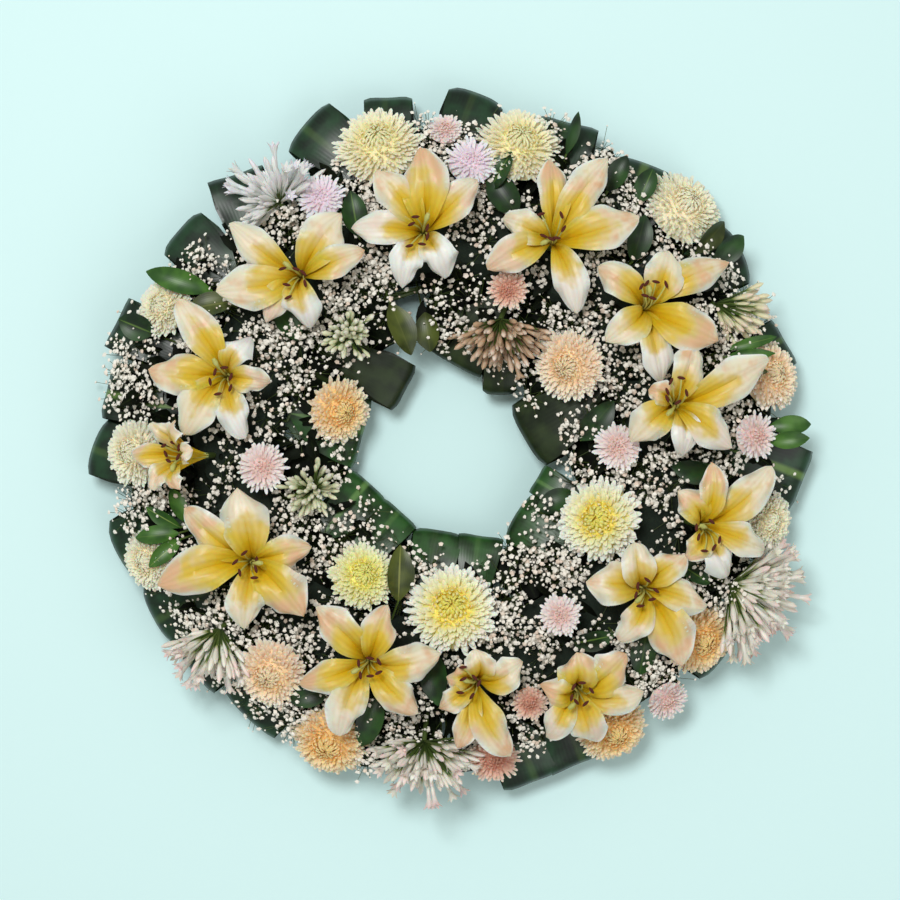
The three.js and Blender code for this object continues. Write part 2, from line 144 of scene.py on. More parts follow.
# A daisy head: centre, radius and colouring. The last one has no node of its own.
DAISIES = [
    ((22, 292), 26, "lilac"), ((58, 160), 20, "coral"), ((-187, -17), 25, "pink"), ((167, 3), 24, "pink"),
    ((110, -165), 21, "pink"), ((-130, 255), 24, "lilac"), ((310, 14), 24, "pink"),
    ((80, -254), 18, "coral"), ((45, -315), 26, "coral"), ((222, -256), 22, "pink"), ((-5, 326), 18, "pink"),
]

# An agapanthus head: its hub, the fan its florets fill, how many, their reach, how steeply they rise and how
# much that varies, the length and half width of a bud, the share that is open, and its colouring.
AGAPANTHUS = [
    {"at": (-172, 250), "fan": (20, 235), "count": 110, "length": 56, "rise": (34, 36), "bud": (33, 2.8),
     "open": 0.12, "key": "lavender"},
    {"at": (-102, 116), "fan": (0, 360), "count": 62, "length": 40, "rise": (62, 26), "bud": (15, 2.7),
     "open": 0.0, "key": "green"},
    {"at": (51, 132), "fan": (196, 348), "count": 112, "length": 57, "rise": (24, 44), "bud": (19, 2.7),
     "open": 0.05, "key": "bronze"},
    {"at": (-138, -40), "fan": (0, 360), "count": 64, "length": 44, "rise": (56, 30), "bud": (17, 2.6),
     "open": 0.0, "key": "green"},
    {"at": (-232, -180), "fan": (192, 310), "count": 76, "length": 62, "rise": (12, 34), "bud": (24, 2.8),
     "open": 0.3, "key": "blush"},
    {"at": (-26, -294), "fan": (180, 364), "count": 104, "length": 62, "rise": (26, 42), "bud": (22, 2.7),
     "open": 0.28, "key": "blush"},
    {"at": (284, -136), "fan": (-100, 42), "count": 132, "length": 72, "rise": (14, 34), "bud": (28, 3.1),
     "open": 0.4, "key": "blush"},
    {"at": (268, 148), "fan": (-70, 22), "count": 40, "length": 58, "rise": (14, 22), "bud": (22, 2.8),
     "open": 0.05, "key": "straw"},
]

# Folded leaves, by sprig: direction from the ring's centre, radius of the fold, half width, skew.
OUTER_SPRIGS = [
    [(2, 352, 22, 0), (18, 361, 27, 12), (34, 362, 33, -10)],
    [(55, 357, 39, 14), (70, 357, 33, 6), (85.5, 367, 31, -16)],
    [(100, 367, 26, -8), (114, 366, 34, 26), (128, 358, 31, -20)],
    [(141, 358, 30, -2), (159, 366, 29, -6), (170, 357, 31, -4), (179.2, 366, 31, -19)],
    [(198, 357, 39, 12), (209.5, 350, 35, -1), (220, 348, 37, 0), (233, 345, 35, -6)],
    [(284, 351, 32, 7), (292.5, 348, 32, -1), (323, 352, 35, 0), (355, 363, 33, -17)],
]
INNER_SPRIGS = [
    [(9, 77, 37, 21), (48, 76, 18, 42), (87, 87, 30, -26), (126, 77, 27, 26)],
    [(-18, 94, 17, -13), (-44, 94, 32, 12), (-70, 94, 24, -28)],
    [(-98, 83, 27, -1), (-128, 81, 23, -4), (-157, 89, 26, 25), (170, 91, 38, -6)],
]
# The sprig that lies in the shade.
SHADED_SPRIG = ("inner", 1)
# Single leaves among the flowers: where one starts, its bearing, length, half width and kind.
SINGLE_LEAVES = [
    ((-240, 160), 163, 70, 12, "bright"), ((-216, 150), 190, 50, 13, "olive"),
    ((-60, 148), -68, 56, 15, "olive"), ((-52, -152), 88, 56, 15, "olive"),
    ((132, 10), 50, 52, 14, "dark"), ((-92, 215), 100, 46, 13, "dark"),
    ((-272, -78), 150, 40, 9, "bright"), ((-274, -84), 186, 44, 10, "bright"),
    ((-272, -90), 222, 42, 9, "bright"), ((-268, -72), 112, 36, 9, "bright"),
    ((68, 236), 125, 50, 15, "dark"), ((40, 262), 60, 44, 13, "dark"), ((184, 190), 75, 48, 13, "dark"),
    ((222, -16), -10, 52, 14, "dark"), ((198, -180), -98, 48, 13, "dark"),
    ((166, -186), 192, 44, 12, "dark"), ((226, -112), -32, 42, 12, "dark"),
    ((-70, -250), -112, 52, 14, "dark"), ((-16, -205), -86, 52, 15, "dark"),
    ((-120, -238), 200, 44, 13, "dark"), ((268, 190), 42, 40, 13, "dark"),
    ((250, 200), 48, 42, 12, "olive"), ((160, 262), 62, 40, 11, "dark"), ((190, 250), 66, 38, 11, "dark"),
    ((118, 300), 74, 44, 7, "dark"), ((324, 24), 3, 42, 10, "bright"), ((324, 8), 6, 40, 9, "bright"),
    ((-300, 118), 158, 38, 14, "dark"), ((280, 102), 14, 52, 6, "bright"),
    ((278, 94), 4, 50, 6, "bright"), ((282, 84), -8, 40, 6, "olive"), ((-20, 100), 98, 40, 13, "olive"),
    ((88, -60), 20, 44, 13, "dark"), ((-150, 110), 130, 42, 12, "dark"),
]

# Bearing and radius of the edges of the gypsophila, round the hole and round the outside.
GYPSOPHILA_INNER = [(0, 118), (20, 112), (30, 88), (40, 88), (55, 92), (75, 92), (90, 98), (105, 108),
                    (120, 116), (145, 124), (165, 104), (180, 100), (200, 102), (215, 92), (232, 90),
                    (245, 98), (262, 92), (275, 116), (292, 114), (303, 106), (312, 94), (325, 98),
                    (340, 112), (360, 118)]
GYPSOPHILA_OUTER = [(0, 334), (20, 350), (40, 344), (60, 350), (75, 348), (85, 330), (97, 340),
                    (110, 322), (122, 306), (140, 322), (152, 350), (165, 354), (180, 342), (200, 338),
                    (215, 326), (235, 334), (250, 334), (270, 336), (288, 312), (305, 330), (320, 332),
                    (340, 346), (360, 334)]
# It is made in sectors, counted from three o'clock; one of them stands for the node's single spray.
SECTORS = 8
SPRAY_SECTOR = 4
FLORETS_PER_SPRIG = 14
# A sprig, in millimetres: how far its florets spread, how far its top lies below them, and its radii.
SPRIG = {"spread": [9, 9, 6], "drop": 24, "stalk": 0.7, "thread": 0.3}
# Of the florets that a flower hides, only some of those below this height are kept.
HIDDEN_BELOW = 78

# Radius of the twigs that folded leaves share, and of the ends of their pins, in the foam.
OUTER_TWIG_RADIUS = 270.0
INNER_TWIG_RADIUS = 170.0
OUTER_PIN_RADIUS = 252
INNER_PIN_RADIUS = 188
TWIG_HEIGHT = 27.0
TWIG_RADIUS = 1.9
# A pin's legs are this far from its middle, and its bend this far past the twig's centre.
PIN_LEG = 4
PIN_BEND = 3

# The dark leaves behind, near black as painted shade between the flowers: the small ones' count, and between
# what their height, length and half width lie; and the folded ones' bearings, twig, half width and drop.
SMALL_LEAVES = {"count": 1300, "height": (30, 60), "length": (20, 36), "width": (5, 9)}
OUTER_BACKING = {"bearings": range(6, 366, 15), "twig": 262, "width": 40}
INNER_BACKING = {"bearings": range(0, 360, 30), "twig": 178, "width": 30}
BACKING_DROP = 9

# Where the seeds of each kind of piece start.
SEEDS = {"lily": 0, "chrysanthemum": 100, "daisy": 200, "agapanthus": 300, "outer": 400, "inner": 450,
         "gypsophila": 500, "foliage": 600}

# Lamps: their name, place in metres, width and power. The camera looks straight down.
LAMPS = [("key_light", (-0.6, 0.9, 3.2), 1.0, 60), ("fill_light", (1.6, -1.4, 2.6), 2.4, 18)]
SKY_STRENGTH = 0.36
CAMERA_HEIGHT = 2.6
CAMERA_LENS = 100
FLOOR_SIZE = 8

# ---- Colour ----


def linear(code):
    """A linear colour from an sRGB hex code."""
    channels = [int(code[i:i + 2], 16) / 255 for i in (1, 3, 5)]
    return [c / 12.92 if c <= 0.04045 else ((c + 0.055) / 1.055) ** 2.4 for c in channels] + [1.0]


MIX = "ShaderNodeMix"
MATH = "ShaderNodeMath"
RANGE = "ShaderNodeMapRange"
NOISE = "ShaderNodeTexNoise"
WAVE = "ShaderNodeTexWave"
BUMP = "ShaderNodeBump"
SPOT = "ShaderNodeTexCoord"
SKIN = "ShaderNodeBsdfPrincipled"
SURFACE = "ShaderNodeOutputMaterial"

# Sockets by number. MIX: its factor at 0 and its colours at A and B. RANGE: its value at 0, what that runs
# from and to at 1 and 2, and what it becomes at 3 and 4. MATH: its terms at 0, 1 and 2.
A, B = 6, 7
BLEND = {"output": 2, "data_type": "RGBA"}
SMOOTH = {"interpolation_type": "SMOOTHSTEP"}


def add(tree, kind, inputs=None, output=0, **settings):
    """Adds a node with its settings, sets or links its inputs by name or number, and gives one output."""
    node = tree.nodes.new(kind)
    for name, value in settings.items():
        setattr(node, name, value)
    for name, value in (inputs or {}).items():
        if isinstance(value, bpy.types.NodeSocket):
            tree.links.new(value, node.inputs[name])
        else:
            node.inputs[name].default_value = value
    return node.outputs[output] if node.outputs else None


def new_tree(name):
    """The empty node tree of a new material."""
    material = bpy.data.materials.new(name)
    material.use_nodes = True
    material.node_tree.nodes.clear()
    return material.node_tree


def petal_sockets(tree):
    """What a petal's mesh carries: across it, along it, chance, its row in the head, and its underside."""
    place = add(tree, "ShaderNodeUVMap", uv_map="petal_map")
    across = add(tree, "ShaderNodeSeparateXYZ", {0: place})
    shade = add(tree, "ShaderNodeAttribute", output="Color", attribute_name="petal_shade")
    chance = add(tree, "ShaderNodeSeparateColor", {0: shade})
    return [place, *across.node.outputs[:2], *chance.node.outputs[:3]]


def satin_lily_petal(settings):
    """Lily petal: living tissue, thin and satin, so light soaks into it. Gold in the throat and cream to
    peach beyond it, with a painted highlight along its rim where the rolled edges catch the light, fine
    veins along it and a white back."""
    tree = new_tree("satin_lily_petal")
    place, across, along, chance, white, under = petal_sockets(tree)
    spot = add(tree, SPOT, output="Object")
    cloud = add(tree, NOISE, {"Vector": spot, "Scale": 1 / (18 * MM), "Detail": 2.0})
    aside = add(tree, MATH, {0: across, 1: 0.5}, operation="SUBTRACT")
    aside = add(tree, MATH, {0: aside}, operation="ABSOLUTE")
    reach = along
    for source, weight in ((aside, 0.42), (cloud, 0.5), (chance, -0.12), (white, 0.14)):
        reach = add(tree, MATH, {0: source, 1: weight, 2: reach}, operation="MULTIPLY_ADD")
    blush = add(tree, MATH, {0: chance, 1: 0.35, 2: cloud}, operation="MULTIPLY_ADD")
    blush = add(tree, RANGE, {0: blush, 1: 0.52, 2: 0.86}, **SMOOTH)
    body = add(tree, MIX, {0: blush, A: settings.cream, B: settings.peach}, **BLEND)
    body = add(tree, MIX, {0: white, A: body, B: linear("#F6F2EC")}, **BLEND)
    for start, full, tone in ((1.08, 0.90, settings.butter), (0.99, 0.76, settings.gold),
                              (0.76, 0.60, settings.throat)):
        near = add(tree, RANGE, {0: reach, 1: start, 2: full}, **SMOOTH)
        body = add(tree, MIX, {0: near, A: body, B: tone}, **BLEND)
    veins = add(tree, WAVE, {"Vector": place, "Scale": 2.2, "Distortion": 0.8, "Detail": 1.0},
                bands_direction="X")
    deep = add(tree, RANGE, {0: reach, 1: 1.2, 2: 0.7, 3: 0.06, 4: 0.18}, **SMOOTH)
    streak = add(tree, MATH, {0: veins, 1: deep}, operation="MULTIPLY")
    body = add(tree, MIX, {0: streak, A: body, B: linear("#B48E14")}, **BLEND)
    outer = add(tree, RANGE, {0: along, 1: 0.5, 2: 0.75, 3: 0.0, 4: 0.85}, **SMOOTH)
    # Painted highlight: on the outer part of the petal the rim is lightened to near white, where its rolled
    # edges catch the light.
    edge = add(tree, RANGE, {0: aside, 1: 0.34, 2: 0.5}, **SMOOTH)
    edge = add(tree, MATH, {0: edge, 1: outer}, operation="MULTIPLY")
    body = add(tree, MIX, {0: edge, A: body, B: linear("#FAF6EC")}, **BLEND)
    back = add(tree, MATH, {0: under, 1: outer}, operation="MULTIPLY")
    body = add(tree, MIX, {0: back, A: body, B: linear("#EFECDC")}, **BLEND)
    relief = add(tree, BUMP, {"Height": veins, "Distance": 0.3 * MM, "Strength": 0.6})
    skin = add(tree, SKIN, {"Base Color": body, "Roughness": 0.4, "Specular IOR Level": 0.45,
                            "Normal": relief, "Subsurface Weight": 0.3, "Subsurface Scale": 2 * MM})
    add(tree, SURFACE, {0: skin})


def matt_head_petal(name, eye, middle, rim):
    """Chrysanthemum or daisy petals: living tissue, matt and soft, with their own colour at the eye, half
    way out and at the rim, each a little paler at its tip."""
    tree = new_tree(name)
    _, _, along, chance, row, under = petal_sockets(tree)
    outward = row
    for source, weight in ((along, 0.35), (chance, 0.16)):
        outward = add(tree, MATH, {0: source, 1: weight, 2: outward}, operation="MULTIPLY_ADD")
    near = add(tree, RANGE, {0: outward, 1: 0.4, 2: 0.78}, **SMOOTH)
    body = add(tree, MIX, {0: near, A: linear(eye), B: linear(middle)}, **BLEND)
    far = add(tree, RANGE, {0: outward, 1: 0.78, 2: 1.24}, **SMOOTH)
    body = add(tree, MIX, {0: far, A: body, B: linear(rim)}, **BLEND)
    tip = add(tree, RANGE, {0: along, 1: 0.72, 2: 1.0, 3: 0.0, 4: 0.5}, **SMOOTH)
    tip = add(tree, MATH, {0: tip, 1: row}, operation="MULTIPLY")
    body = add(tree, MIX, {0: tip, A: body, B: linear("#FFFBEC")}, **BLEND)
    back = add(tree, MATH, {0: under, 1: 0.3}, operation="MULTIPLY")
    body = add(tree, MIX, {0: back, A: body, B: linear(middle)}, **BLEND)
    spot = add(tree, SPOT, output="Object")
    fuzz = add(tree, NOISE, {"Vector": spot, "Scale": 1 / (1.2 * MM), "Detail": 2.0})
    relief = add(tree, BUMP, {"Height": fuzz, "Distance": 0.15 * MM, "Strength": 0.6})
    skin = add(tree, SKIN, {"Base Color": body, "Roughness": 0.6, "Normal": relief,
                            "Subsurface Weight": 0.35, "Subsurface Scale": 2.5 * MM})
    add(tree, SURFACE, {0: skin})


def green_stalk():
    """Green stalks: smooth living stems, satin, near black at their feet as painted shade deep among the
    flowers, and paler towards their tops.
    """
    tree = new_tree("green_stalk")
    _, _, along, chance, _, _ = petal_sockets(tree)
    # Painted shade: the foot colour is near black and stands for the shade deep in the arrangement.
    tone = add(tree, MIX, {0: along, A: linear("#16280E"), B: linear("#4E6828")}, **BLEND)
    share = add(tree, MATH, {0: chance, 1: 0.3}, operation="MULTIPLY")
    tone = add(tree, MIX, {0: share, A: tone, B: linear("#76843E")}, **BLEND)
    skin = add(tree, SKIN, {"Base Color": tone, "Roughness": 0.5})
    add(tree, SURFACE, {0: skin})


def maroon_anther():
    """Lily anthers: dry, dusty pollen, maroon-brown and quite matt."""
    tree = new_tree("maroon_anther")
    spot = add(tree, SPOT, output="Object")
    dust = add(tree, NOISE, {"Vector": spot, "Scale": 1 / (0.8 * MM), "Detail": 2.0})
    tone = add(tree, MIX, {0: dust, A: linear("#3A0F08"), B: linear("#6A2A14")}, **BLEND)
    relief = add(tree, BUMP, {"Height": dust, "Distance": 0.2 * MM, "Strength": 0.6})
    skin = add(tree, SKIN, {"Base Color": tone, "Roughness": 0.9, "Normal": relief})
    add(tree, SURFACE, {0: skin})


def pale_green_filament():
    """Stamens' filaments and the pistil: moist living tissue, pale green with a soft shine."""
    tree = new_tree("pale_green_filament")
    spot = add(tree, SPOT, output="Object")
    cloud = add(tree, NOISE, {"Vector": spot, "Scale": 1 / (6 * MM), "Detail": 2.0})
    tone = add(tree, MIX, {0: cloud, A: linear("#A9B04A"), B: linear("#D8D68A")}, **BLEND)
    skin = add(tree, SKIN, {"Base Color": tone, "Roughness": 0.4})
    add(tree, SURFACE, {0: skin})


def waxy_floret(name, foot, body, tip):
    """Agapanthus florets and buds: smooth waxy tubes, green at the foot and darkened there as painted shade
    near the hub, striped, tinged at the tip.
    """
    tree = new_tree(name)
    place, _, along, chance, pink, _ = petal_sockets(tree)
    share = add(tree, MATH, {0: chance, 1: 0.25}, operation="MULTIPLY")
    tone = add(tree, MIX, {0: share, A: linear(body), B: linear(foot)}, **BLEND)
    # Painted shade: the dark foot colour reaches up the lower part of each floret, towards the shaded hub.
    near = add(tree, RANGE, {0: along, 1: 0.4, 2: 0.0}, **SMOOTH)
    tone = add(tree, MIX, {0: near, A: tone, B: linear(foot)}, **BLEND)
    far = add(tree, RANGE, {0: along, 1: 0.45, 2: 0.95}, **SMOOTH)
    far = add(tree, MATH, {0: far, 1: pink}, operation="MULTIPLY")
    tone = add(tree, MIX, {0: far, A: tone, B: linear(tip)}, **BLEND)
    stripe = add(tree, WAVE, {"Vector": place, "Scale": 1.0, "Distortion": 0.5}, bands_direction="X")
    share = add(tree, MATH, {0: stripe, 1: 0.16}, operation="MULTIPLY")
    tone = add(tree, MIX, {0: share, A: tone, B: linear(foot)}, **BLEND)
    relief = add(tree, BUMP, {"Height": stripe, "Distance": 0.15 * MM, "Strength": 0.6})
    skin = add(tree, SKIN, {"Base Color": tone, "Roughness": 0.45, "Normal": relief,
                            "Subsurface Weight": 0.2, "Subsurface Scale": 2 * MM})
    add(tree, SURFACE, {0: skin})


def crumpled_gypsophila_petal():
    """Gypsophila florets: papery crumpled petals, matt and white, some with a breath of pink."""
    tree = new_tree("crumpled_gypsophila_petal")
    _, _, _, chance, _, _ = petal_sockets(tree)
    share = add(tree, RANGE, {0: chance, 1: 0.7, 2: 1.0}, **SMOOTH)
    white = add(tree, MIX, {0: share, A: linear("#FFFBF0"), B: linear("#F4E0CE")}, **BLEND)
    skin = add(tree, SKIN, {"Base Color": white, "Roughness": 0.75})
    add(tree, SURFACE, {0: skin})


def waxy_leaf(name, dark, bright, stripe, roughness, band, shine):
    """Broad leaf: a waxy skin with a soft gloss, close parallel veins along it and a paler middle band."""
    tree = new_tree(name)
    place, across, _, chance, _, _ = petal_sockets(tree)
    spot = add(tree, SPOT, output="Object")
    cloud = add(tree, NOISE, {"Vector": spot, "Scale": 1 / (22 * MM), "Detail": 2.0})
    share = add(tree, RANGE, {0: cloud, 1: 0.35, 2: 0.7}, **SMOOTH)
    green = add(tree, MIX, {0: share, A: linear(dark), B: linear(bright)}, **BLEND)
    veins = add(tree, WAVE, {"Vector": place, "Scale": 4.5, "Distortion": 0.4, "Detail": 0.0},
                bands_direction="X")
    share = add(tree, MATH, {0: veins, 1: 0.12}, operation="MULTIPLY")
    green = add(tree, MIX, {0: share, A: green, B: linear(bright)}, **BLEND)
    aside = add(tree, MATH, {0: across, 1: band[0]}, operation="SUBTRACT")
    aside = add(tree, MATH, {0: aside}, operation="ABSOLUTE")
    share = add(tree, RANGE, {0: aside, 1: band[1], 2: band[1] * 0.2}, **SMOOTH)
    share = add(tree, MATH, {0: share, 1: chance}, operation="MULTIPLY")
    green = add(tree, MIX, {0: share, A: green, B: linear(stripe)}, **BLEND)
    relief = add(tree, BUMP, {"Height": veins, "Distance": 0.05 * MM, "Strength": 0.5})
    skin = add(tree, SKIN, {"Base Color": green, "Roughness": roughness, "Specular IOR Level": shine,
                            "Normal": relief})
    add(tree, SURFACE, {0: skin})


def wet_floral_foam():
    """Floral foam: phenolic foam soaked with water, so dark green, with its crumbly cells made nearly black
    as painted shade between the flowers.
    """
    tree = new_tree("wet_floral_foam")
    spot = add(tree, SPOT, output="Object")
    cells = add(tree, NOISE, {"Vector": spot, "Scale": 1 / (1.6 * MM), "Detail": 6.0})
    # Painted shade: both tones are near black, so the foam seen between the flowers reads as shade.
    tone = add(tree, MIX, {0: cells, A: linear("#0A160D"), B: linear("#16281A")}, **BLEND)
    relief = add(tree, BUMP, {"Height": cells, "Distance": 0.8 * MM, "Strength": 0.8})
    skin = add(tree, SKIN, {"Base Color": tone, "Roughness": 0.9, "Normal": relief})
    add(tree, SURFACE, {0: skin})


def moulded_polypropylene():
    """The tray: moulded polypropylene, dark green and satin, with the faint pebble of its mould."""
    tree = new_tree("moulded_polypropylene")
    spot = add(tree, SPOT, output="Object")
    cloud = add(tree, NOISE, {"Vector": spot, "Scale": 1 / (30 * MM), "Detail": 2.0})
    tone = add(tree, MIX, {0: cloud, A: linear("#16241C"), B: linear("#1E3026")}, **BLEND)
    pebble = add(tree, NOISE, {"Vector": spot, "Scale": 1 / (0.8 * MM), "Detail": 2.0})
    relief = add(tree, BUMP, {"Height": pebble, "Distance": 0.05 * MM, "Strength": 0.6})
    skin = add(tree, SKIN, {"Base Color": tone, "Roughness": 0.45, "IOR": 1.49, "Normal": relief})
    add(tree, SURFACE, {0: skin})


def galvanised_wire():
    """Greening pins: drawn steel wire, dipped in zinc, so a dull grey metal with faint cloudy spangle."""
    tree = new_tree("galvanised_wire")
    spot = add(tree, SPOT, output="Object")
    spangle = add(tree, NOISE, {"Vector": spot, "Scale": 1 / (3 * MM), "Detail": 2.0})
    tone = add(tree, MIX, {0: spangle, A: linear("#8D9294"), B: linear("#B4B8B8")}, **BLEND)
    skin = add(tree, SKIN, {"Base Color": tone, "Roughness": 0.4, "Metallic": 1.0})
    add(tree, SURFACE, {0: skin})


def studio_paper(settings):
    """The floor: uncoated studio paper, pale and quite matt."""
    tree = new_tree("studio_paper")
    spot = add(tree, SPOT, output="Object")
    fibre = add(tree, NOISE, {"Vector": spot, "Scale": 1 / (4 * MM), "Detail": 3.0})
    relief = add(tree, BUMP, {"Height": fibre, "Distance": 0.02 * MM, "Strength": 0.3})
    skin = add(tree, SKIN, {"Base Color": settings.paper, "Roughness": 0.95, "Normal": relief})
    add(tree, SURFACE, {0: skin})


# ---- Shapes: every petal, leaf, stalk and bud is a loft of closed rings ----


def unit(vectors):
    """Vectors at length 1."""
    return vectors / np.maximum(np.linalg.norm(vectors, axis=-1, keepdims=True), 1e-9)


def polar(degrees, radius, height=0.0):
    """A point at a bearing and radius from the ring's axis."""
    angle = math.radians(degrees)
    return np.array([radius * math.cos(angle), radius * math.sin(angle), height])


def bezier(corners, along):
    """Points and unit tangents of cubic curves: corners (n, 4, 3), along (rows,)."""
    t = np.asarray(along)[:, None]
    weights = np.hstack([(1 - t) ** 3, 3 * (1 - t) ** 2 * t, 3 * (1 - t) * t ** 2, t ** 3])
    slopes = np.hstack([-3 * (1 - t) ** 2, 3 * (1 - t) * (1 - 3 * t), 3 * t * (2 - 3 * t), 3 * t ** 2])
    return (np.einsum("rk,nkc->nrc", weights, corners), unit(np.einsum("rk,nkc->nrc", slopes, corners)))


def smooth_through(at, steps, values):
    """A smooth curve through values given at steps, as a cubic of each stretch's end slopes."""
    steps, values = np.asarray(steps, float), np.asarray(values, float)
    slopes = np.gradient(values, steps)
    k = np.clip(np.searchsorted(steps, at) - 1, 0, len(steps) - 2)
    span = steps[k + 1] - steps[k]
    t = (at - steps[k]) / span
    return ((2 * t ** 3 - 3 * t ** 2 + 1) * values[k] + (t ** 3 - 2 * t ** 2 + t) * span * slopes[k]
            + (3 * t ** 2 - 2 * t ** 3) * values[k + 1] + (t ** 3 - t ** 2) * span * slopes[k + 1])


def link_alone(piece):
    """Links an object to the scene, and makes it the active one and the only one selected."""
    bpy.context.scene.collection.objects.link(piece)
    bpy.ops.object.select_all(action="DESELECT")
    piece.select_set(True)
    bpy.context.view_layer.objects.active = piece


class Posy:
    """Gathers lofts in millimetres and makes one mesh object of them."""

    def __init__(self):
        """Starts empty."""
        self.points, self.maps, self.shades = [], [], []
        self.quads, self.caps, self.quad_slots, self.cap_slots = [], [], [], []
        self.count = 0

    def loft(self, rings, across, along, chance, row=0.0, under=None, slot=0):
        """Skins rings (n, rows, around, 3) and closes their ends."""
        n, rows, around, _ = rings.shape
        shape = (n, rows, around)
        chance = np.broadcast_to(np.reshape(chance, (-1, 1, 1)), shape)
        row = np.broadcast_to(np.reshape(row, (-1, 1, 1)), shape)
        under = np.broadcast_to(np.zeros(around) if under is None else under, shape)
        across = np.broadcast_to(across, shape)
        along = np.broadcast_to(np.reshape(along, (1, -1, 1)), shape)
        self.points.append(rings.reshape(-1, 3))
        self.maps.append(np.stack([across, along], -1).reshape(-1, 2))
        self.shades.append(np.stack([chance, row, under, np.ones(shape)], -1).reshape(-1, 4))
        grid = np.arange(rows * around).reshape(rows, around)
        after = np.roll(grid, -1, 1)
        skin = np.stack([grid[:-1], grid[1:], after[1:], after[:-1]], -1).reshape(-1, 4)
        starts = self.count + np.arange(n)[:, None, None] * rows * around
        self.quads.append((skin[None] + starts).reshape(-1, 4))
        ends = np.stack([grid[0], grid[-1][::-1]])
        caps = (ends[None] + starts).reshape(-1, around)
        self.caps.append(caps)
        self.quad_slots.append(np.full(len(self.quads[-1]), slot))
        self.cap_slots.append(np.full(len(caps), slot))
        self.count += n * rows * around

    def make(self, name, materials, crease=50):
        """One smooth-shaded mesh object, in metres, at the origin."""
        mesh = bpy.data.meshes.new(name)
        corners = np.concatenate([q.ravel() for q in self.quads] + [c.ravel() for c in self.caps])
        sizes = np.concatenate([np.full(len(q), 4) for q in self.quads]
                               + [np.full(len(c), c.shape[1]) for c in self.caps])
        mesh.vertices.add(self.count)
        mesh.vertices.foreach_set("co", (np.concatenate(self.points) * MM).astype(np.float32).ravel())
        mesh.loops.add(len(corners))
        mesh.loops.foreach_set("vertex_index", corners.astype(np.int32))
        mesh.polygons.add(len(sizes))
        firsts = np.concatenate([[0], np.cumsum(sizes)[:-1]])
        mesh.polygons.foreach_set("loop_start", firsts.astype(np.int32))
        mesh.polygons.foreach_set("loop_total", sizes.astype(np.int32))
        slots = np.concatenate(self.quad_slots + self.cap_slots)
        mesh.polygons.foreach_set("material_index", slots.astype(np.int32))
        mesh.polygons.foreach_set("use_smooth", np.ones(len(sizes), bool))
        chart = mesh.uv_layers.new(name="petal_map")
        chart.uv.foreach_set("vector", np.concatenate(self.maps)[corners].astype(np.float32).ravel())
        shade = mesh.attributes.new("petal_shade", "FLOAT_COLOR", "POINT")
        shade.data.foreach_set("color", np.concatenate(self.shades).astype(np.float32).ravel())
        mesh.update(calc_edges=True)
        mesh.validate()
        for material in materials:
            mesh.materials.append(material)
        piece = bpy.data.objects.new(name, mesh)
        link_alone(piece)
        bpy.ops.object.shade_smooth_by_angle(angle=math.radians(crease))
        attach(piece, "root")
        return piece


def rolled(side, up, angle):
    """A blade's two cross directions, rolled about its length."""
    return side * np.cos(angle) + up * np.sin(angle), up * np.cos(angle) - side * np.sin(angle)


def blade_rings(middle, side, up, half_width, lift, thickness, columns):
    """Rings of a flat blade with sharp rims. Arrays are (n, rows, ...) and lift raises the rims."""
    spread = np.linspace(-1, 1, columns)
    top = (spread, np.ones(columns))
    back = (spread[-2:0:-1], -np.ones(columns - 2))
    u = np.concatenate([top[0], back[0]])
    face = np.concatenate([top[1], back[1]])
    rise = lift[..., None] * u ** 2 + face * thickness[..., None] / 2 * (1 - u ** 2)
    rings = (middle[:, :, None] + side[:, :, None] * (half_width[..., None] * u)[..., None]
             + up[:, :, None] * rise[..., None])
    return rings, u / 2 + 0.5, (face < 0).astype(float)


def tube_rings(middle, tangent, radius, around):
    """Rings of a round stalk. Arrays are (n, rows, ...)."""
    helper = np.where(np.abs(tangent[..., 2:]) > 0.9, [1.0, 0.0, 0.0], [0.0, 0.0, 1.0])
    side = unit(np.cross(helper, tangent))
    up = np.cross(tangent, side)
    angle = -np.arange(around) * 2 * math.pi / around
    return (middle[:, :, None] + radius[..., None, None] * (side[:, :, None] * np.cos(angle)[:, None]
                                                            + up[:, :, None] * np.sin(angle)[:, None]))


def add_stalks(posy, starts, ends, radius, around=5, rows=2, bend=None, chance=0.5, slot=0, along=(0, 1)):
    """Round stalks from starts to ends, both (n, 3), bending through an offset at the middle."""
    starts, ends = np.atleast_2d(starts), np.atleast_2d(ends)
    bend = np.zeros_like(starts) if bend is None else bend
    corners = np.stack([starts, starts * 2 / 3 + ends / 3 + bend, starts / 3 + ends * 2 / 3 + bend, ends], 1)
    steps = np.linspace(0, 1, rows)
    middle, tangent = bezier(corners, steps)
    width = np.broadcast_to(radius, (len(starts), rows))
    posy.loft(tube_rings(middle, tangent, width, around), 0.5, np.linspace(*along, rows), chance, slot=slot)


def lean_axis(at, per_mm, fixed=None):
    """The way a flower faces: out past the ring's centre line, in before it."""
    lean = math.radians((math.hypot(*at) - RING_RADIUS) * per_mm if fixed is None else fixed)
    bearing = math.atan2(at[1], at[0])
    return np.array([math.sin(lean) * math.cos(bearing), math.sin(lean) * math.sin(bearing), math.cos(lean)])


def crown(at, top, fall):
    """Height of the flower heads: highest over the ring's centre line."""
    return top - fall * (math.hypot(*at) - RING_RADIUS) ** 2


def anchor(at):
    """Where a stem ends, inside the foam."""
    radius = RING_RADIUS + (math.hypot(*at) - RING_RADIUS) * STEM_GATHER
    return polar(math.degrees(math.atan2(at[1], at[0])), radius, STEM_DEPTH)


def stand(points, centre, axis):
    """Turns points from a frame whose +Z is the flower's axis into the wreath's frame."""
    east = unit(np.cross([0.0, 1.0, 0.0], axis))
    north = np.cross(axis, east)
    return centre + points @ np.stack([east, north, axis])


# ---- Flowers ----


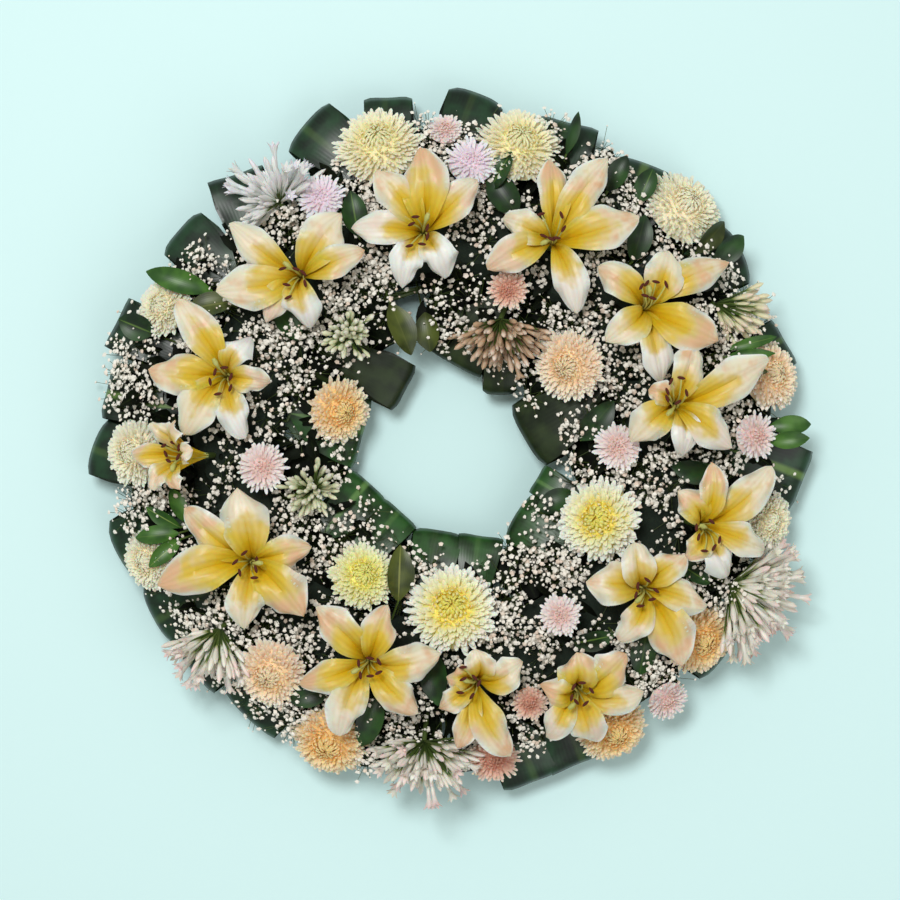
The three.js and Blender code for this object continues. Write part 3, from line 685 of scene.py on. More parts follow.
def add_lily(posy, plan, rng):
    """One lily: six petals, six stamens, a pistil and a stem."""
    axis = lean_axis(plan["at"], LILY_LEAN, plan.get("lean"))
    throat = np.array([*plan["at"], crown(plan["at"], *LILY_HEIGHT)])
    heel = throat - axis * LILY_HEEL
    opening = math.radians(plan.get("open", 0))
    add_lily_petals(posy, plan["petals"], axis, throat, heel, opening, rng)
    add_stamens(posy, plan["petals"], axis, throat, heel, opening, rng)
    foot = anchor(plan["at"])
    add_stalks(posy, foot, heel + axis * 3, LILY_STEM, around=8, rows=6, slot=3, along=(0, 0.8))


def add_lily_petals(posy, petals, axis, throat, heel, opening, rng):
    """Six petals that rise from the heel as a trumpet, flare at the throat and roll back at ruffled rims."""
    bearings, reach, width, droop = (np.array(column, float) for column in zip(*petals))
    outward = np.stack([polar(b, 1) for b in bearings])
    outward = unit(outward - (outward @ axis)[:, None] * axis)
    inner_whorl = np.arange(6) % 2
    spread, rise = math.cos(opening) * reach, math.sin(opening) * reach

    def place(base, out, along):
        """Six points, one for each petal, out from a base and along the lily's axis."""
        out, along = np.broadcast_to(out, 6)[:, None], np.broadcast_to(along, 6)[:, None]
        return base + outward * out + axis * along

    corners = np.stack([
        place(heel, 2, 2),
        place(heel, 10 - inner_whorl * 2, LILY_HEEL * 0.9 + inner_whorl * 2),
        place(throat, spread * 0.58, 19 + rise * 0.6 + inner_whorl * 3 + rng.uniform(-3, 3, 6)),
        place(throat, spread, rise - droop),
    ], 1)
    rows = np.linspace(0, 1, 24)
    rows = rows + 0.12 * np.sin(math.pi * rows)
    middle, tangent = bezier(corners, rows)
    side = np.broadcast_to(np.cross(axis, outward)[:, None], middle.shape)
    up = np.cross(tangent, side)
    sway = rng.uniform(-6, 6, (6, 1)) * np.sin(math.pi * rows)[None]
    middle = middle + side * sway[..., None]
    twist = np.radians(rng.uniform(-32, 32, 6))[:, None, None] * rows[None, :, None] ** 1.5
    side, up = rolled(side, up, twist)
    profile = smooth_through(rows, *LILY_WIDTH)
    blunt = np.clip(1 - np.clip((rows - 0.62) / 0.38, 0, 1) ** 2, 0.002, 1) ** rng.uniform(0.5, 0.78, (6, 1))
    profile = profile * blunt
    notch = 0.06 * np.sin(rows * rng.uniform(9, 17, (6, 1)) + rng.uniform(0, 6.3, (6, 1)))
    notch = notch * np.clip(rows * 3 - 1.2, 0, 1)
    half_width = width[:, None] * 0.94 * np.maximum(profile + notch * profile, 0.03)
    curl = rng.uniform(-1.0, -0.35, (6, 1))
    lift = half_width * (smooth_through(rows, *LILY_CHANNEL) + smooth_through(rows, *LILY_ROLL) * curl)
    rings, across, under = blade_rings(middle, side, up, half_width, lift, np.full(half_width.shape, 0.9), 9)
    u = across * 2 - 1
    crease = half_width[..., None] * 0.62 * (np.abs(u) ** 0.8 - u ** 2)
    rings = rings + up[:, :, None] * (crease * np.clip(1.5 - rows, 0, 1)[None, :, None])[..., None]
    phase = rows[None] * rng.uniform(12, 22, (6, 1)) + rng.uniform(0, 6.3, (6, 1))
    ruffle = np.sin(phase[..., None] + u * 2.2) * np.abs(u) ** 2.2 * rng.uniform(3.5, 7.0, (6, 1, 1))
    fade = (np.clip(rows * 2 - 0.7, 0, 1) * half_width / width[:, None])[..., None]
    rib = -1.6 * np.exp(-(u / 0.16) ** 2) * np.sin(math.pi * np.clip(rows, 0.02, 1) ** 0.8)[None, :, None]
    rings = rings + up[:, :, None] * (ruffle * fade + rib)[..., None]
    white = np.clip((droop - 8) / 10, 0, 1)
    posy.loft(rings, across, rows, rng.uniform(0, 1, 6), white, under, slot=0)


def add_stamens(posy, petals, axis, throat, heel, opening, rng):
    """Six stamens between the petals, their anthers lying across their tips, and the pistil."""
    steps = np.linspace(0, 1, 7)
    turns = np.radians(np.array([petal[0] for petal in petals], float) + 28)
    east = unit(np.cross(axis, [0.1, 1.0, 0.2]))
    north = np.cross(axis, east)
    ray = np.cos(turns)[:, None] * east + np.sin(turns)[:, None] * north
    bunch = ray + (east * rng.normal(0, 0.5) + north * rng.normal(0, 0.5))
    tips = throat + bunch * rng.uniform(8, 16, (6, 1)) * math.cos(opening)
    tips = tips + axis * rng.uniform(9, 18, (6, 1))
    stamens = np.stack([np.tile(heel, (6, 1)) + ray * 2, heel + ray * 3 + axis * 30,
                        throat + ray * 5 + axis * 4, tips], 1)
    middle, tangent = bezier(stamens, steps)
    posy.loft(tube_rings(middle, tangent, np.full((6, 7), FILAMENT), 5), 0.5, steps, 0.5, slot=2)
    lie = unit(np.cross(ray, axis) + ray * rng.uniform(-0.8, 0.8, (6, 1)))
    half_length, half_width = ANTHER
    ends = tips[:, None] + lie[:, None] * (np.linspace(-1, 1, 7) * half_length)[None, :, None]
    swell = np.tile(half_width * np.sqrt(np.clip(1 - np.linspace(-1, 1, 7) ** 2, 0.02, 1)), (6, 1))
    posy.loft(tube_rings(ends, np.tile(lie[:, None], (1, 7, 1)), swell, 6), 0.5, steps, 0.5, slot=1)
    crook = unit(ray[rng.integers(6)] + ray[rng.integers(6)] * 0.4)
    pistil = np.stack([heel, heel + axis * 34, throat + axis * 8 + crook * 3,
                       throat + axis * 15 + crook * 16])
    middle, tangent = bezier(pistil[None], np.linspace(0, 1, 10))
    girth = np.array(PISTIL)[None]
    posy.loft(tube_rings(middle, tangent, girth, 6), 0.5, np.linspace(0, 1, 10), 0.5, slot=2)


def add_head(posy, at, radius, rng, head, blade):
    """A full head of petals, set round by the golden angle over a core, and its stem."""
    count, dome = head["petals"], head["dome"]
    radius = radius * head["spread"]
    axis = lean_axis(at, HEAD_LEAN)
    centre = np.array([*at, crown(at, *head["height"])])
    order = (np.arange(count) + 0.5) / count
    turn = np.arange(count) * GOLDEN_ANGLE + rng.uniform(-0.12, 0.12, count)
    tip = radius * (0.06 + 0.94 * np.sqrt(order)) * rng.uniform(0.9, 1.04, count)
    height = radius * (dome * (1 - order ** 1.15) - 0.06) + rng.uniform(-0.03, 0.03, count) * radius
    foot = radius * 0.1 * order
    sink = -radius * (0.30 + 0.1 * order)
    incurved = np.clip(1 - order / 0.3, 0, 1)
    reach = np.stack([foot, foot + tip * 0.30, tip * (0.86 + 0.5 * incurved), tip * (1 - 0.8 * incurved)], 1)
    level = np.stack([sink, sink * 0.4 + height * 0.5, height + radius * 0.04 - 0.10 * radius * order,
                      height + radius * 0.05 * (1 - order)], 1)
    rays = np.stack([np.cos(turn), np.sin(turn), np.zeros(count)], 1)
    corners = rays[:, None] * reach[..., None] + np.array([0, 0, 1.0]) * level[..., None]
    rows = np.array([0.3, 0.6, 0.8, 0.93, 1.0])
    middle, tangent = bezier(corners, rows)
    side = np.stack([-np.sin(turn), np.cos(turn), np.zeros(count)], 1)
    side = np.broadcast_to(side[:, None], middle.shape)
    up = np.cross(tangent, side)
    roll = rng.uniform(-0.35, 0.35, (count, 1, 1))
    side, up = rolled(side, up, roll)
    half_width = blade * (0.7 + 0.3 * np.sqrt(order))[:, None] * np.array([0.5, 0.9, 1.0, 0.72, 0.18])[None]
    thickness = np.full(half_width.shape, 0.7)
    rings, across, under = blade_rings(middle, side, up, half_width, half_width * 0.55, thickness, 3)
    rings = stand(rings.reshape(-1, 3), centre, axis).reshape(rings.shape)
    posy.loft(rings, across, rows, rng.uniform(0, 1, count), order, under, slot=0)
    share = np.array([0.8, 0.7, 0.55, 0.4, 0.25, 0.1])
    level = radius * (dome * (1 - share ** 2.3) - np.array([0.32, 0.22, 0.2, 0.19, 0.17, 0.15]))
    core = (centre + axis * level[:, None])[None]
    turned = tube_rings(core, np.tile(axis, (1, 6, 1)), (radius * share)[None], 16)
    posy.loft(turned, 0.5, np.linspace(0.7, 0.3, 6), 0.5, 0.3, slot=0)
    neck = centre - axis * radius * 0.28
    add_stalks(posy, anchor(at), neck, head["stem"], around=6, rows=5, slot=1, along=(0, 0.7))
    cup = np.stack([centre + axis * radius * h for h in (-0.42, -0.36, -0.24, -0.1)])[None]
    girth = np.array([0.08, 0.3, 0.42, 0.2])[None] * radius
    posy.loft(tube_rings(cup, np.tile(axis, (1, 4, 1)), girth, 12), 0.5, np.linspace(0, 0.5, 4), 0.5, slot=1)


def add_agapanthus(posy, plan, rng):
    """A fan of stalked florets from one hub: mostly buds, with some florets open."""
    count = plan["count"]
    hub = np.array([*plan["at"], crown(plan["at"], *AGAPANTHUS_HEIGHT)])
    low, high = np.radians(plan["fan"])
    bearing = low + (high - low) * (np.arange(count) * 0.618034 % 1) + rng.normal(0, 0.06, count)
    rise = np.radians(plan["rise"][0] + rng.uniform(-1, 1, count) * plan["rise"][1])
    way = np.stack([np.cos(bearing) * np.cos(rise), np.sin(bearing) * np.cos(rise), np.sin(rise)], 1)
    bud = plan["bud"][0] * rng.uniform(0.75, 1.1, count)
    length = np.maximum(plan["length"] * rng.uniform(0.5, 1.04, count), bud + 6)
    chance = rng.uniform(0, 1, count)
    neck = hub + way * (length - bud)[:, None]
    sag = np.array([0, 0, 1.0]) * rng.uniform(0, 3, (count, 1))
    feet = np.tile(hub, (count, 1))
    add_stalks(posy, feet, neck + way * 1.5, 0.9, around=4, rows=4, bend=sag, chance=chance, slot=1)
    rows = np.array([0, 0.12, 0.35, 0.62, 0.86, 1.0])
    middle = neck[:, None] + way[:, None] * (bud[:, None] * rows)[..., None]
    tangent = np.broadcast_to(way[:, None], middle.shape)
    girth = np.array(BUD_WIDTH)[None] * rng.uniform(0.8, 1.15, (count, 1))
    is_open = rng.uniform(0, 1, count) < plan["open"]
    girth = np.where(is_open[:, None], np.array(OPEN_FLORET_WIDTH)[None], girth) * plan["bud"][1]
    pink = rng.uniform(0, 1, count) ** 1.5
    posy.loft(tube_rings(middle, tangent, girth, 6), np.arange(6) / 6, rows, chance, pink, slot=0)
    for k in np.flatnonzero(is_open):
        add_tepals(posy, neck[k] + way[k] * bud[k] * 0.7, way[k], bud[k] * 0.62, chance[k], pink[k], rng)
    add_stalks(posy, anchor(plan["at"]), hub, AGAPANTHUS_STEM, around=8, rows=5, slot=1, along=(0, 0.6))


def add_tepals(posy, base, axis, length, chance, pink, rng):
    """The six flaring tips of an open agapanthus floret."""
    turn = np.arange(6) * math.pi / 3 + rng.uniform(0, 1)
    east = unit(np.cross(axis, [0.3, 0.2, 1.0]))
    ray = np.cos(turn)[:, None] * east + np.sin(turn)[:, None] * np.cross(axis, east)
    corners = np.stack([base + ray * 1.5, base + ray * 2 + axis * length * 0.45,
                        base + ray * 3.5 + axis * length * 0.8, base + ray * 7 + axis * length], 1)
    rows = np.array([0, 0.4, 0.75, 1.0])
    middle, tangent = bezier(corners, rows)
    side = np.broadcast_to(np.cross(axis, ray)[:, None], middle.shape)
    up = np.cross(tangent, side)
    half_width = np.array([1.0, 1.8, 1.9, 0.3])[None] * np.ones((6, 1))
    thickness = np.full(half_width.shape, 0.5)
    rings, across, under = blade_rings(middle, side, up, half_width, half_width * 0.3, thickness, 3)
    posy.loft(rings, across, 0.5 + rows / 2, chance, pink, under, slot=0)


# ---- Leaves ----


def add_folded_leaf(posy, leaf, twig_radius, rng, slot=0, sink=0.0):
    """A broad leaf that leaves its twig, runs to its fold and comes back over itself, up to the flowers."""
    bearing, fold_radius, width, skew = leaf
    way = np.sign(fold_radius - twig_radius)
    run = abs(fold_radius - twig_radius)
    heading = unit(polar(bearing + skew, 1))
    fold = polar(bearing, fold_radius)

    def spot(back, height):
        """A point back from the fold, as a share of the way to the twig."""
        return fold - heading * way * back * run + np.array([0, 0, height - sink])

    lift = rng.uniform(-1.5, 1.5)
    knots = np.array([spot(1.0, TWIG_HEIGHT), spot(0.6, TWIG_HEIGHT - 3), spot(0.2, TWIG_HEIGHT - 2 + lift),
                      spot(0.03, TWIG_HEIGHT + 1 + lift), spot(0.0, TWIG_HEIGHT + 7 + lift),
                      spot(0.04, TWIG_HEIGHT + 14 + lift), spot(0.2, TWIG_HEIGHT + 20 + lift),
                      spot(0.55, TWIG_HEIGHT + 27), spot(0.95, TWIG_HEIGHT + 31)])
    steps = np.concatenate([[0], np.cumsum(np.linalg.norm(np.diff(knots, axis=0), axis=1))])
    steps /= steps[-1]
    rows = np.linspace(0, 1, 30)
    middle = np.stack([smooth_through(rows, steps, knots[:, c]) for c in range(3)], 1)[None]
    tangent = unit(np.gradient(middle, axis=1))
    side = np.broadcast_to(np.array([-heading[1], heading[0], 0.0]) * way, middle.shape)
    up = np.cross(tangent, side)
    half_width = (width * np.interp(rows, *FOLDED_LEAF_WIDTH))[None]
    lift = half_width * 0.12 * np.sin(rows * 9 + rng.uniform(0, 6))[None]
    rings, across, under = blade_rings(middle, side, up, half_width, lift, np.full(half_width.shape, 0.8), 9)
    near_fold = np.exp(-((rows - 0.47) / 0.13) ** 2)[None, :, None]
    retreat = near_fold * np.abs(across * 2 - 1) ** 5 * rng.uniform(1, 6)
    rings = rings - heading * way * retreat[..., None]
    posy.loft(rings, across, rows, rng.uniform(0, 1) ** 2, 0, under, slot=slot)


def add_twig(posy, leaves, radius, slot):
    """The twig that a sprig's leaves share, and its two spurs into the foam."""
    rows = 14
    bearings = np.linspace(min(leaf[0] for leaf in leaves), max(leaf[0] for leaf in leaves), rows)
    middle = np.stack([polar(b, radius, TWIG_HEIGHT) for b in bearings])[None]
    tangent = unit(np.gradient(middle, axis=1))
    twig = tube_rings(middle, tangent, np.full((1, rows), TWIG_RADIUS), 6)
    posy.loft(twig, 0.5, np.linspace(0, 1, rows), 0.5, slot=slot)
    inward = RING_RADIUS + (radius - RING_RADIUS) * 0.5
    for bearing in (bearings[0], bearings[-1]):
        foot = polar(bearing, inward, TWIG_HEIGHT)
        add_stalks(posy, foot, polar(bearing, radius, TWIG_HEIGHT), 1.5, slot=slot)


def add_small_leaves(posy, points, ways, lengths, widths, rng, slot=0, fine=False):
    """Plain pointed leaves from points (n, 3) along ways (n, 3), arching over."""
    n = len(points)
    flat = unit(np.cross(np.array([0, 0, 1.0]), ways))
    sky = np.cross(ways, flat)
    length = lengths[:, None]
    corners = np.stack([points, points + ways * length * 0.35 + sky * length * 0.12,
                        points + ways * length * 0.75 + sky * length * 0.1,
                        points + ways * length - sky * length * 0.1], 1)
    rows = np.linspace(0, 1, 14 if fine else 5)
    middle, tangent = bezier(corners, rows)
    roll = rng.uniform(-0.6, 0.6, (n, 1, 1))
    side = np.broadcast_to(flat[:, None], middle.shape)
    up = np.cross(tangent, side)
    side, up = rolled(side, up, roll)
    half_width = widths[:, None] * np.interp(rows, *SMALL_LEAF_WIDTH)
    thickness = np.full(half_width.shape, 0.6)
    columns = 7 if fine else 3
    rings, across, under = blade_rings(middle, side, up, half_width, half_width * 0.35, thickness, columns)
    posy.loft(rings, across, rows, rng.uniform(0, 1, n) ** 3, 0, under, slot=slot)


# ---- Properties, operators and panel ----


def colour(name, description, code):
    """A colour that a user picks, given as an sRGB hex code."""
    return bpy.props.FloatVectorProperty(name=name, description=description, default=linear(code),
                                         min=0, max=1, size=4, subtype="COLOR")


def millimetres(name, description, default, low, high):
    """A length in metres, shown in the scene's own unit."""
    return bpy.props.FloatProperty(name=name, description=description, default=default * MM, min=low * MM,
                                   max=high * MM, subtype="DISTANCE", unit="LENGTH")


class WreathColours(bpy.types.PropertyGroup):
    """Colours that a user would change."""

    throat: colour("Throat", "Deepest colour in a lily's throat", "#DEB81C")
    gold: colour("Gold", "Colour of a lily's inner petal", "#E0C03C")
    butter: colour("Butter", "Colour half way out a lily's petal", "#DEC882")
    cream: colour("Cream", "Paler colour of a lily's tips", "#F0E4CA")
    peach: colour("Peach", "Warmer colour of a lily's tips", "#E6BC94")
    paper: colour("Paper", "Colour of the studio floor", "#DEFFFF")


class WreathSizes(bpy.types.PropertyGroup):
    """Sizes and counts that a user would change."""

    pin: millimetres("Pin wire", "Thickness of the greening pins' wire", 1.6, 0.8, 3.0)
    floret: millimetres("Gypsophila floret", "Width of one gypsophila floret", 4.5, 3.0, 9.0)
    blade: millimetres("Chrysanthemum petal", "Half width of an outer chrysanthemum petal", 2.4, 1.5, 5.0)
    florets: bpy.props.IntProperty(name="Gypsophila florets", default=13400, min=500, max=16000,
                                   description="How many gypsophila florets are set")
    seed: bpy.props.IntProperty(name="Seed", default=11, min=0,
                                description="Seed of the arrangement's chance")


# Colours of a head at its eye, half way out and at its rim.
HEAD_COLOURS = {
    "pale_yellow": ("#FCF0B6", "#FAEECA", "#FAF1DC"),
    "yellow_eyed": ("#FFE63C", "#FDF5C6", "#FFFAEC"),
    "lemon": ("#FFF27A", "#FCF4B0", "#FBF5CE"),
    "cream": ("#FFF0CC", "#F8EFD4", "#F5F0DC"),
    "peach": ("#FFDEB0", "#FFE2C4", "#FFEAD6"),
    "apricot": ("#FFD080", "#FFDCA8", "#FFE6C6"),
}
DAISY_COLOURS = {
    "lilac": ("#F4DCE6", "#F6E6EE", "#F8F0F4"),
    "pink": ("#ECC8BE", "#F5DFDC", "#F8EAE8"),
    "coral": ("#D2927A", "#EEBCA6", "#F4D0BE"),
}
# Colours of an agapanthus floret at its foot, along its tube and at its tip; the foot colours are darkened
# as painted shade near the hub.
FLORET_COLOURS = {
    "lavender": ("#A4AE98", "#FEFDFC", "#F4EEF8"),
    "green": ("#7C9040", "#ECEDCC", "#FAF8EC"),
    "bronze": ("#54401E", "#CFAE8C", "#FBEBDA"),
    "blush": ("#8E9856", "#FFFAF2", "#F8D8D8"),
    "straw": ("#6E8236", "#F4EDC8", "#F2D6CC"),
}
# Leaves: dark and bright greens, middle band, roughness, where the band lies and how wide, and shine.
LEAF_COLOURS = {
    "outer": ("#0A1E12", "#1E4228", "#6C8C46", 0.34, (0.56, 0.1), 0.5),
    "inner": ("#14300F", "#2C5C26", "#6A9450", 0.36, (0.56, 0.1), 0.5),
    "shaded": ("#12200A", "#28381A", "#4C5A28", 0.4, (0.56, 0.1), 0.4),
    "dark": ("#0E2412", "#28501E", "#6A8C3C", 0.42, (0.5, 0.05), 0.5),
    "bright": ("#244E16", "#4C7C2A", "#94AE58", 0.4, (0.5, 0.05), 0.5),
    "olive": ("#2C3812", "#566226", "#949850", 0.42, (0.5, 0.05), 0.5),
    # Painted shade: near-black leaves that fill the gaps behind the flowers.
    "small": ("#060A04", "#10190A", "#2E3C1A", 0.65, (0.5, 0.08), 0.12),
}


def materials_by_name():
    """Every material by its name."""
    return {material.name: material for material in bpy.data.materials}


def chance_of(settings, kind, number=0):
    """The chance of one piece, which the others don't change."""
    return np.random.default_rng(settings.seed * 1000 + SEEDS[kind] + number)


class WREATH_OT_materials(bpy.types.Operator):
    """Makes every material of the wreath"""

    bl_idname = "wreath.materials"
    bl_label = "Wreath materials"

    def execute(self, context):
        colours = context.scene.wreath_colours
        satin_lily_petal(colours)
        for key, (eye, middle, rim) in HEAD_COLOURS.items():
            matt_head_petal("matt_chrysanthemum_petal_" + key, eye, middle, rim)
        for key, (eye, middle, rim) in DAISY_COLOURS.items():
            matt_head_petal("matt_daisy_petal_" + key, eye, middle, rim)
        for key, (foot, body, tip) in FLORET_COLOURS.items():
            waxy_floret("waxy_agapanthus_floret_" + key, foot, body, tip)
        green_stalk()
        maroon_anther()
        pale_green_filament()
        crumpled_gypsophila_petal()
        for key, look in LEAF_COLOURS.items():
            waxy_leaf("waxy_leaf_" + key, *look)
        wet_floral_foam()
        moulded_polypropylene()
        galvanised_wire()
        studio_paper(colours)
        return {"FINISHED"}


class WREATH_OT_base(bpy.types.Operator):
    """Makes the tray, finishes the foam, and pins the sprigs to it"""

    bl_idname = "wreath.base"
    bl_label = "Tray, foam and pins"

    def execute(self, context):
        settings = context.scene.wreath_sizes
        finish = materials_by_name()
        for slot in bpy.data.objects["foam_ring"].material_slots:
            slot.material = finish["wet_floral_foam"]
        tray = spun_tray()
        tray.data.materials.append(finish["moulded_polypropylene"])
        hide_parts("base_tray")
        posy = Posy()
        for sprigs, radius, inside in ((OUTER_SPRIGS, OUTER_TWIG_RADIUS, OUTER_PIN_RADIUS),
                                       (INNER_SPRIGS, INNER_TWIG_RADIUS, INNER_PIN_RADIUS)):
            for leaves in sprigs:
                low, high = leaves[0][0], leaves[-1][0]
                for share in (0.12, 0.5, 0.88):
                    add_pin(posy, low + (high - low) * share, radius, inside, settings.pin / MM / 2)
        posy.make("greening_pins", [finish["galvanised_wire"]])
        return {"FINISHED"}


def spun_tray():
    """The tray: a profile with a rolled rim, spun round the ring's axis."""
    half = FOAM_WIDTH / 2 + TRAY_WALL + TRAY_CLEARANCE
    corners = []
    for hand in (1, -1):
        wall = [(half * hand, TRAY_BEVEL), ((half - TRAY_BEVEL) * hand, 0.0)]
        bead = [(half - TRAY_BEAD + TRAY_BEAD * math.cos(a),
                 TRAY_TOP - TRAY_BEAD + TRAY_BEAD * math.sin(a)) for a in np.linspace(0, math.pi, 7)]
        bead = [(x * hand, z) for x, z in bead] + [((half - TRAY_WALL) * hand, TRAY_WALL)]
        corners += (wall[::-1] + bead) if hand > 0 else (wall[::-1] + bead)[::-1]
    mesh = bpy.data.meshes.new("spun_tray")
    points = [((RING_RADIUS + x) * MM, 0, z * MM) for x, z in corners]
    mesh.from_pydata(points, [(k, (k + 1) % len(points)) for k in range(len(points))], [])
    tray = bpy.data.objects.new("spun_tray", mesh)
    link_alone(tray)
    bpy.ops.object.mode_set(mode="EDIT")
    bpy.ops.mesh.select_all(action="SELECT")
    bpy.ops.mesh.spin(steps=120, angle=math.tau, center=(0, 0, 0), axis=(0, 0, 1))
    bpy.ops.mesh.select_all(action="SELECT")
    bpy.ops.mesh.remove_doubles(threshold=0.00002)
    bpy.ops.mesh.normals_make_consistent(inside=False)
    bpy.ops.object.mode_set(mode="OBJECT")
    bpy.ops.object.shade_smooth_by_angle(angle=math.radians(35))
    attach(tray, "root")
    return tray


def add_pin(posy, bearing, twig_radius, inside_radius, wire):
    """A greening pin: a wire bent over a twig, with both its legs pushed into the foam's side."""
    hand = math.copysign(1, twig_radius - RING_RADIUS)
    spread = math.degrees(PIN_LEG / twig_radius)
    over = twig_radius + hand * PIN_BEND
    route = [(-spread, inside_radius), (-spread, over - hand * 2), (-spread * 0.7, over),
             (0, over + hand * 0.6), (spread * 0.7, over), (spread, over - hand * 2),
             (spread, inside_radius)]
    rows = len(route)
    middle = np.stack([polar(bearing + turn, radius, TWIG_HEIGHT) for turn, radius in route])[None]
    tangent = unit(np.gradient(middle, axis=1))
    posy.loft(tube_rings(middle, tangent, np.full((1, rows), wire), 6), 0.5, np.linspace(0, 1, rows), 0.5)


class WREATH_OT_lilies(bpy.types.Operator):
    """Makes the thirteen lilies"""

    bl_idname = "wreath.lilies"
    bl_label = "Lilies"

    def execute(self, context):
        settings = context.scene.wreath_sizes
        finish = materials_by_name()
        skins = [finish["satin_lily_petal"], finish["maroon_anther"], finish["pale_green_filament"],
                 finish["green_stalk"]]
        for number, plan in enumerate(LILIES, 1):
            posy = Posy()
            add_lily(posy, plan, chance_of(settings, "lily", number))
            piece = posy.make(f"lily_bloom_{number:02d}", skins, crease=65)
            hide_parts(f"lily_{number:02d}")
        return {"FINISHED"}


class WREATH_OT_chrysanthemums(bpy.types.Operator):
    """Makes the seventeen chrysanthemums"""

    bl_idname = "wreath.chrysanthemums"
    bl_label = "Chrysanthemums"

    def execute(self, context):
        settings = context.scene.wreath_sizes
        finish = materials_by_name()
        for number, (at, radius, key) in enumerate(CHRYSANTHEMUMS, 1):
            posy = Posy()
            blade = settings.blade / MM * (BROAD_BLADE if key == "yellow_eyed" else 1.0)
            rng = chance_of(settings, "chrysanthemum", number)
            add_head(posy, at, radius, rng, CHRYSANTHEMUM_HEAD, blade)
            skins = [finish["matt_chrysanthemum_petal_" + key], finish["green_stalk"]]
            piece = posy.make(f"chrysanthemum_bloom_{number:02d}", skins, crease=60)
            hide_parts(f"chrysanthemum_{number:02d}")
        return {"FINISHED"}


class WREATH_OT_daisies(bpy.types.Operator):
    """Makes the daisy-flowered blooms"""

    bl_idname = "wreath.daisies"
    bl_label = "Daisies"

    def execute(self, context):
        settings = context.scene.wreath_sizes
        finish = materials_by_name()
        for number, (at, radius, key) in enumerate(DAISIES, 1):
            posy = Posy()
            add_head(posy, at, radius, chance_of(settings, "daisy", number), DAISY_HEAD, DAISY_BLADE)
            skins = [finish["matt_daisy_petal_" + key], finish["green_stalk"]]
            piece = posy.make(f"daisy_bloom_{number:02d}", skins, crease=60)
            if number < len(DAISIES):
                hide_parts(f"daisy_{number:02d}")
        return {"FINISHED"}


class WREATH_OT_agapanthus(bpy.types.Operator):
    """Makes the eight agapanthus heads"""

    bl_idname = "wreath.agapanthus"
    bl_label = "Agapanthus"

    def execute(self, context):
        settings = context.scene.wreath_sizes
        finish = materials_by_name()
        for number, plan in enumerate(AGAPANTHUS, 1):
            skins = [finish["waxy_agapanthus_floret_" + plan["key"]], finish["green_stalk"]]
            posy = Posy()
            add_agapanthus(posy, plan, chance_of(settings, "agapanthus", number))
            piece = posy.make(f"agapanthus_head_{number:02d}", skins)
            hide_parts(f"agapanthus_{number:02d}")
        return {"FINISHED"}


class WREATH_OT_leaves(bpy.types.Operator):
    """Makes the folded leaves on their twigs"""

    bl_idname = "wreath.leaves"
    bl_label = "Folded leaves"

    def execute(self, context):
        settings = context.scene.wreath_sizes
        finish = materials_by_name()
        for label, sprigs, radius in (("outer", OUTER_SPRIGS, OUTER_TWIG_RADIUS),
                                      ("inner", INNER_SPRIGS, INNER_TWIG_RADIUS)):
            for number, leaves in enumerate(sprigs, 1):
                posy = Posy()
                rng = chance_of(settings, label, number)
                for leaf in leaves:
                    add_folded_leaf(posy, leaf, radius, rng)
                add_twig(posy, leaves, radius, 1)
                tone = "shaded" if (label, number) == SHADED_SPRIG else label
                skins = [finish["waxy_leaf_" + tone], finish["green_stalk"]]
                piece = posy.make(f"{label}_folded_leaves_{number:02d}", skins)
                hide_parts(f"{label}_leaves_{number:02d}")
        return {"FINISHED"}


class WREATH_OT_gypsophila(bpy.types.Operator):
    """Fills the gaps with sprigs of gypsophila"""

    bl_idname = "wreath.gypsophila"
    bl_label = "Gypsophila"

    def execute(self, context):
        settings = context.scene.wreath_sizes
        finish = materials_by_name()
        sprigs = settings.florets // (SECTORS * FLORETS_PER_SPRIG)
        for number in range(1, SECTORS + 1):
            rng = chance_of(settings, "gypsophila", number)
            posy = Posy()
            bearing = (rng.uniform(0, 1, sprigs * 3) + number - 1) * 2 * math.pi / SECTORS
            centres = gap_points(bearing, rng, 4)
            wish = hidden_share(centres) + rng.uniform(0, 0.6, len(centres)) + thin_patches(centres)
            centres = centres[np.argsort(wish)][:sprigs]
            add_sprigs(posy, centres, settings.floret / MM / 2, rng)
            skins = [finish["crumpled_gypsophila_petal"], finish["green_stalk"]]
            piece = posy.make(f"gypsophila_cloud_{number:02d}", skins)
            if number == SPRAY_SECTOR:
                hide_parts("gypsophila_spray")
        return {"FINISHED"}


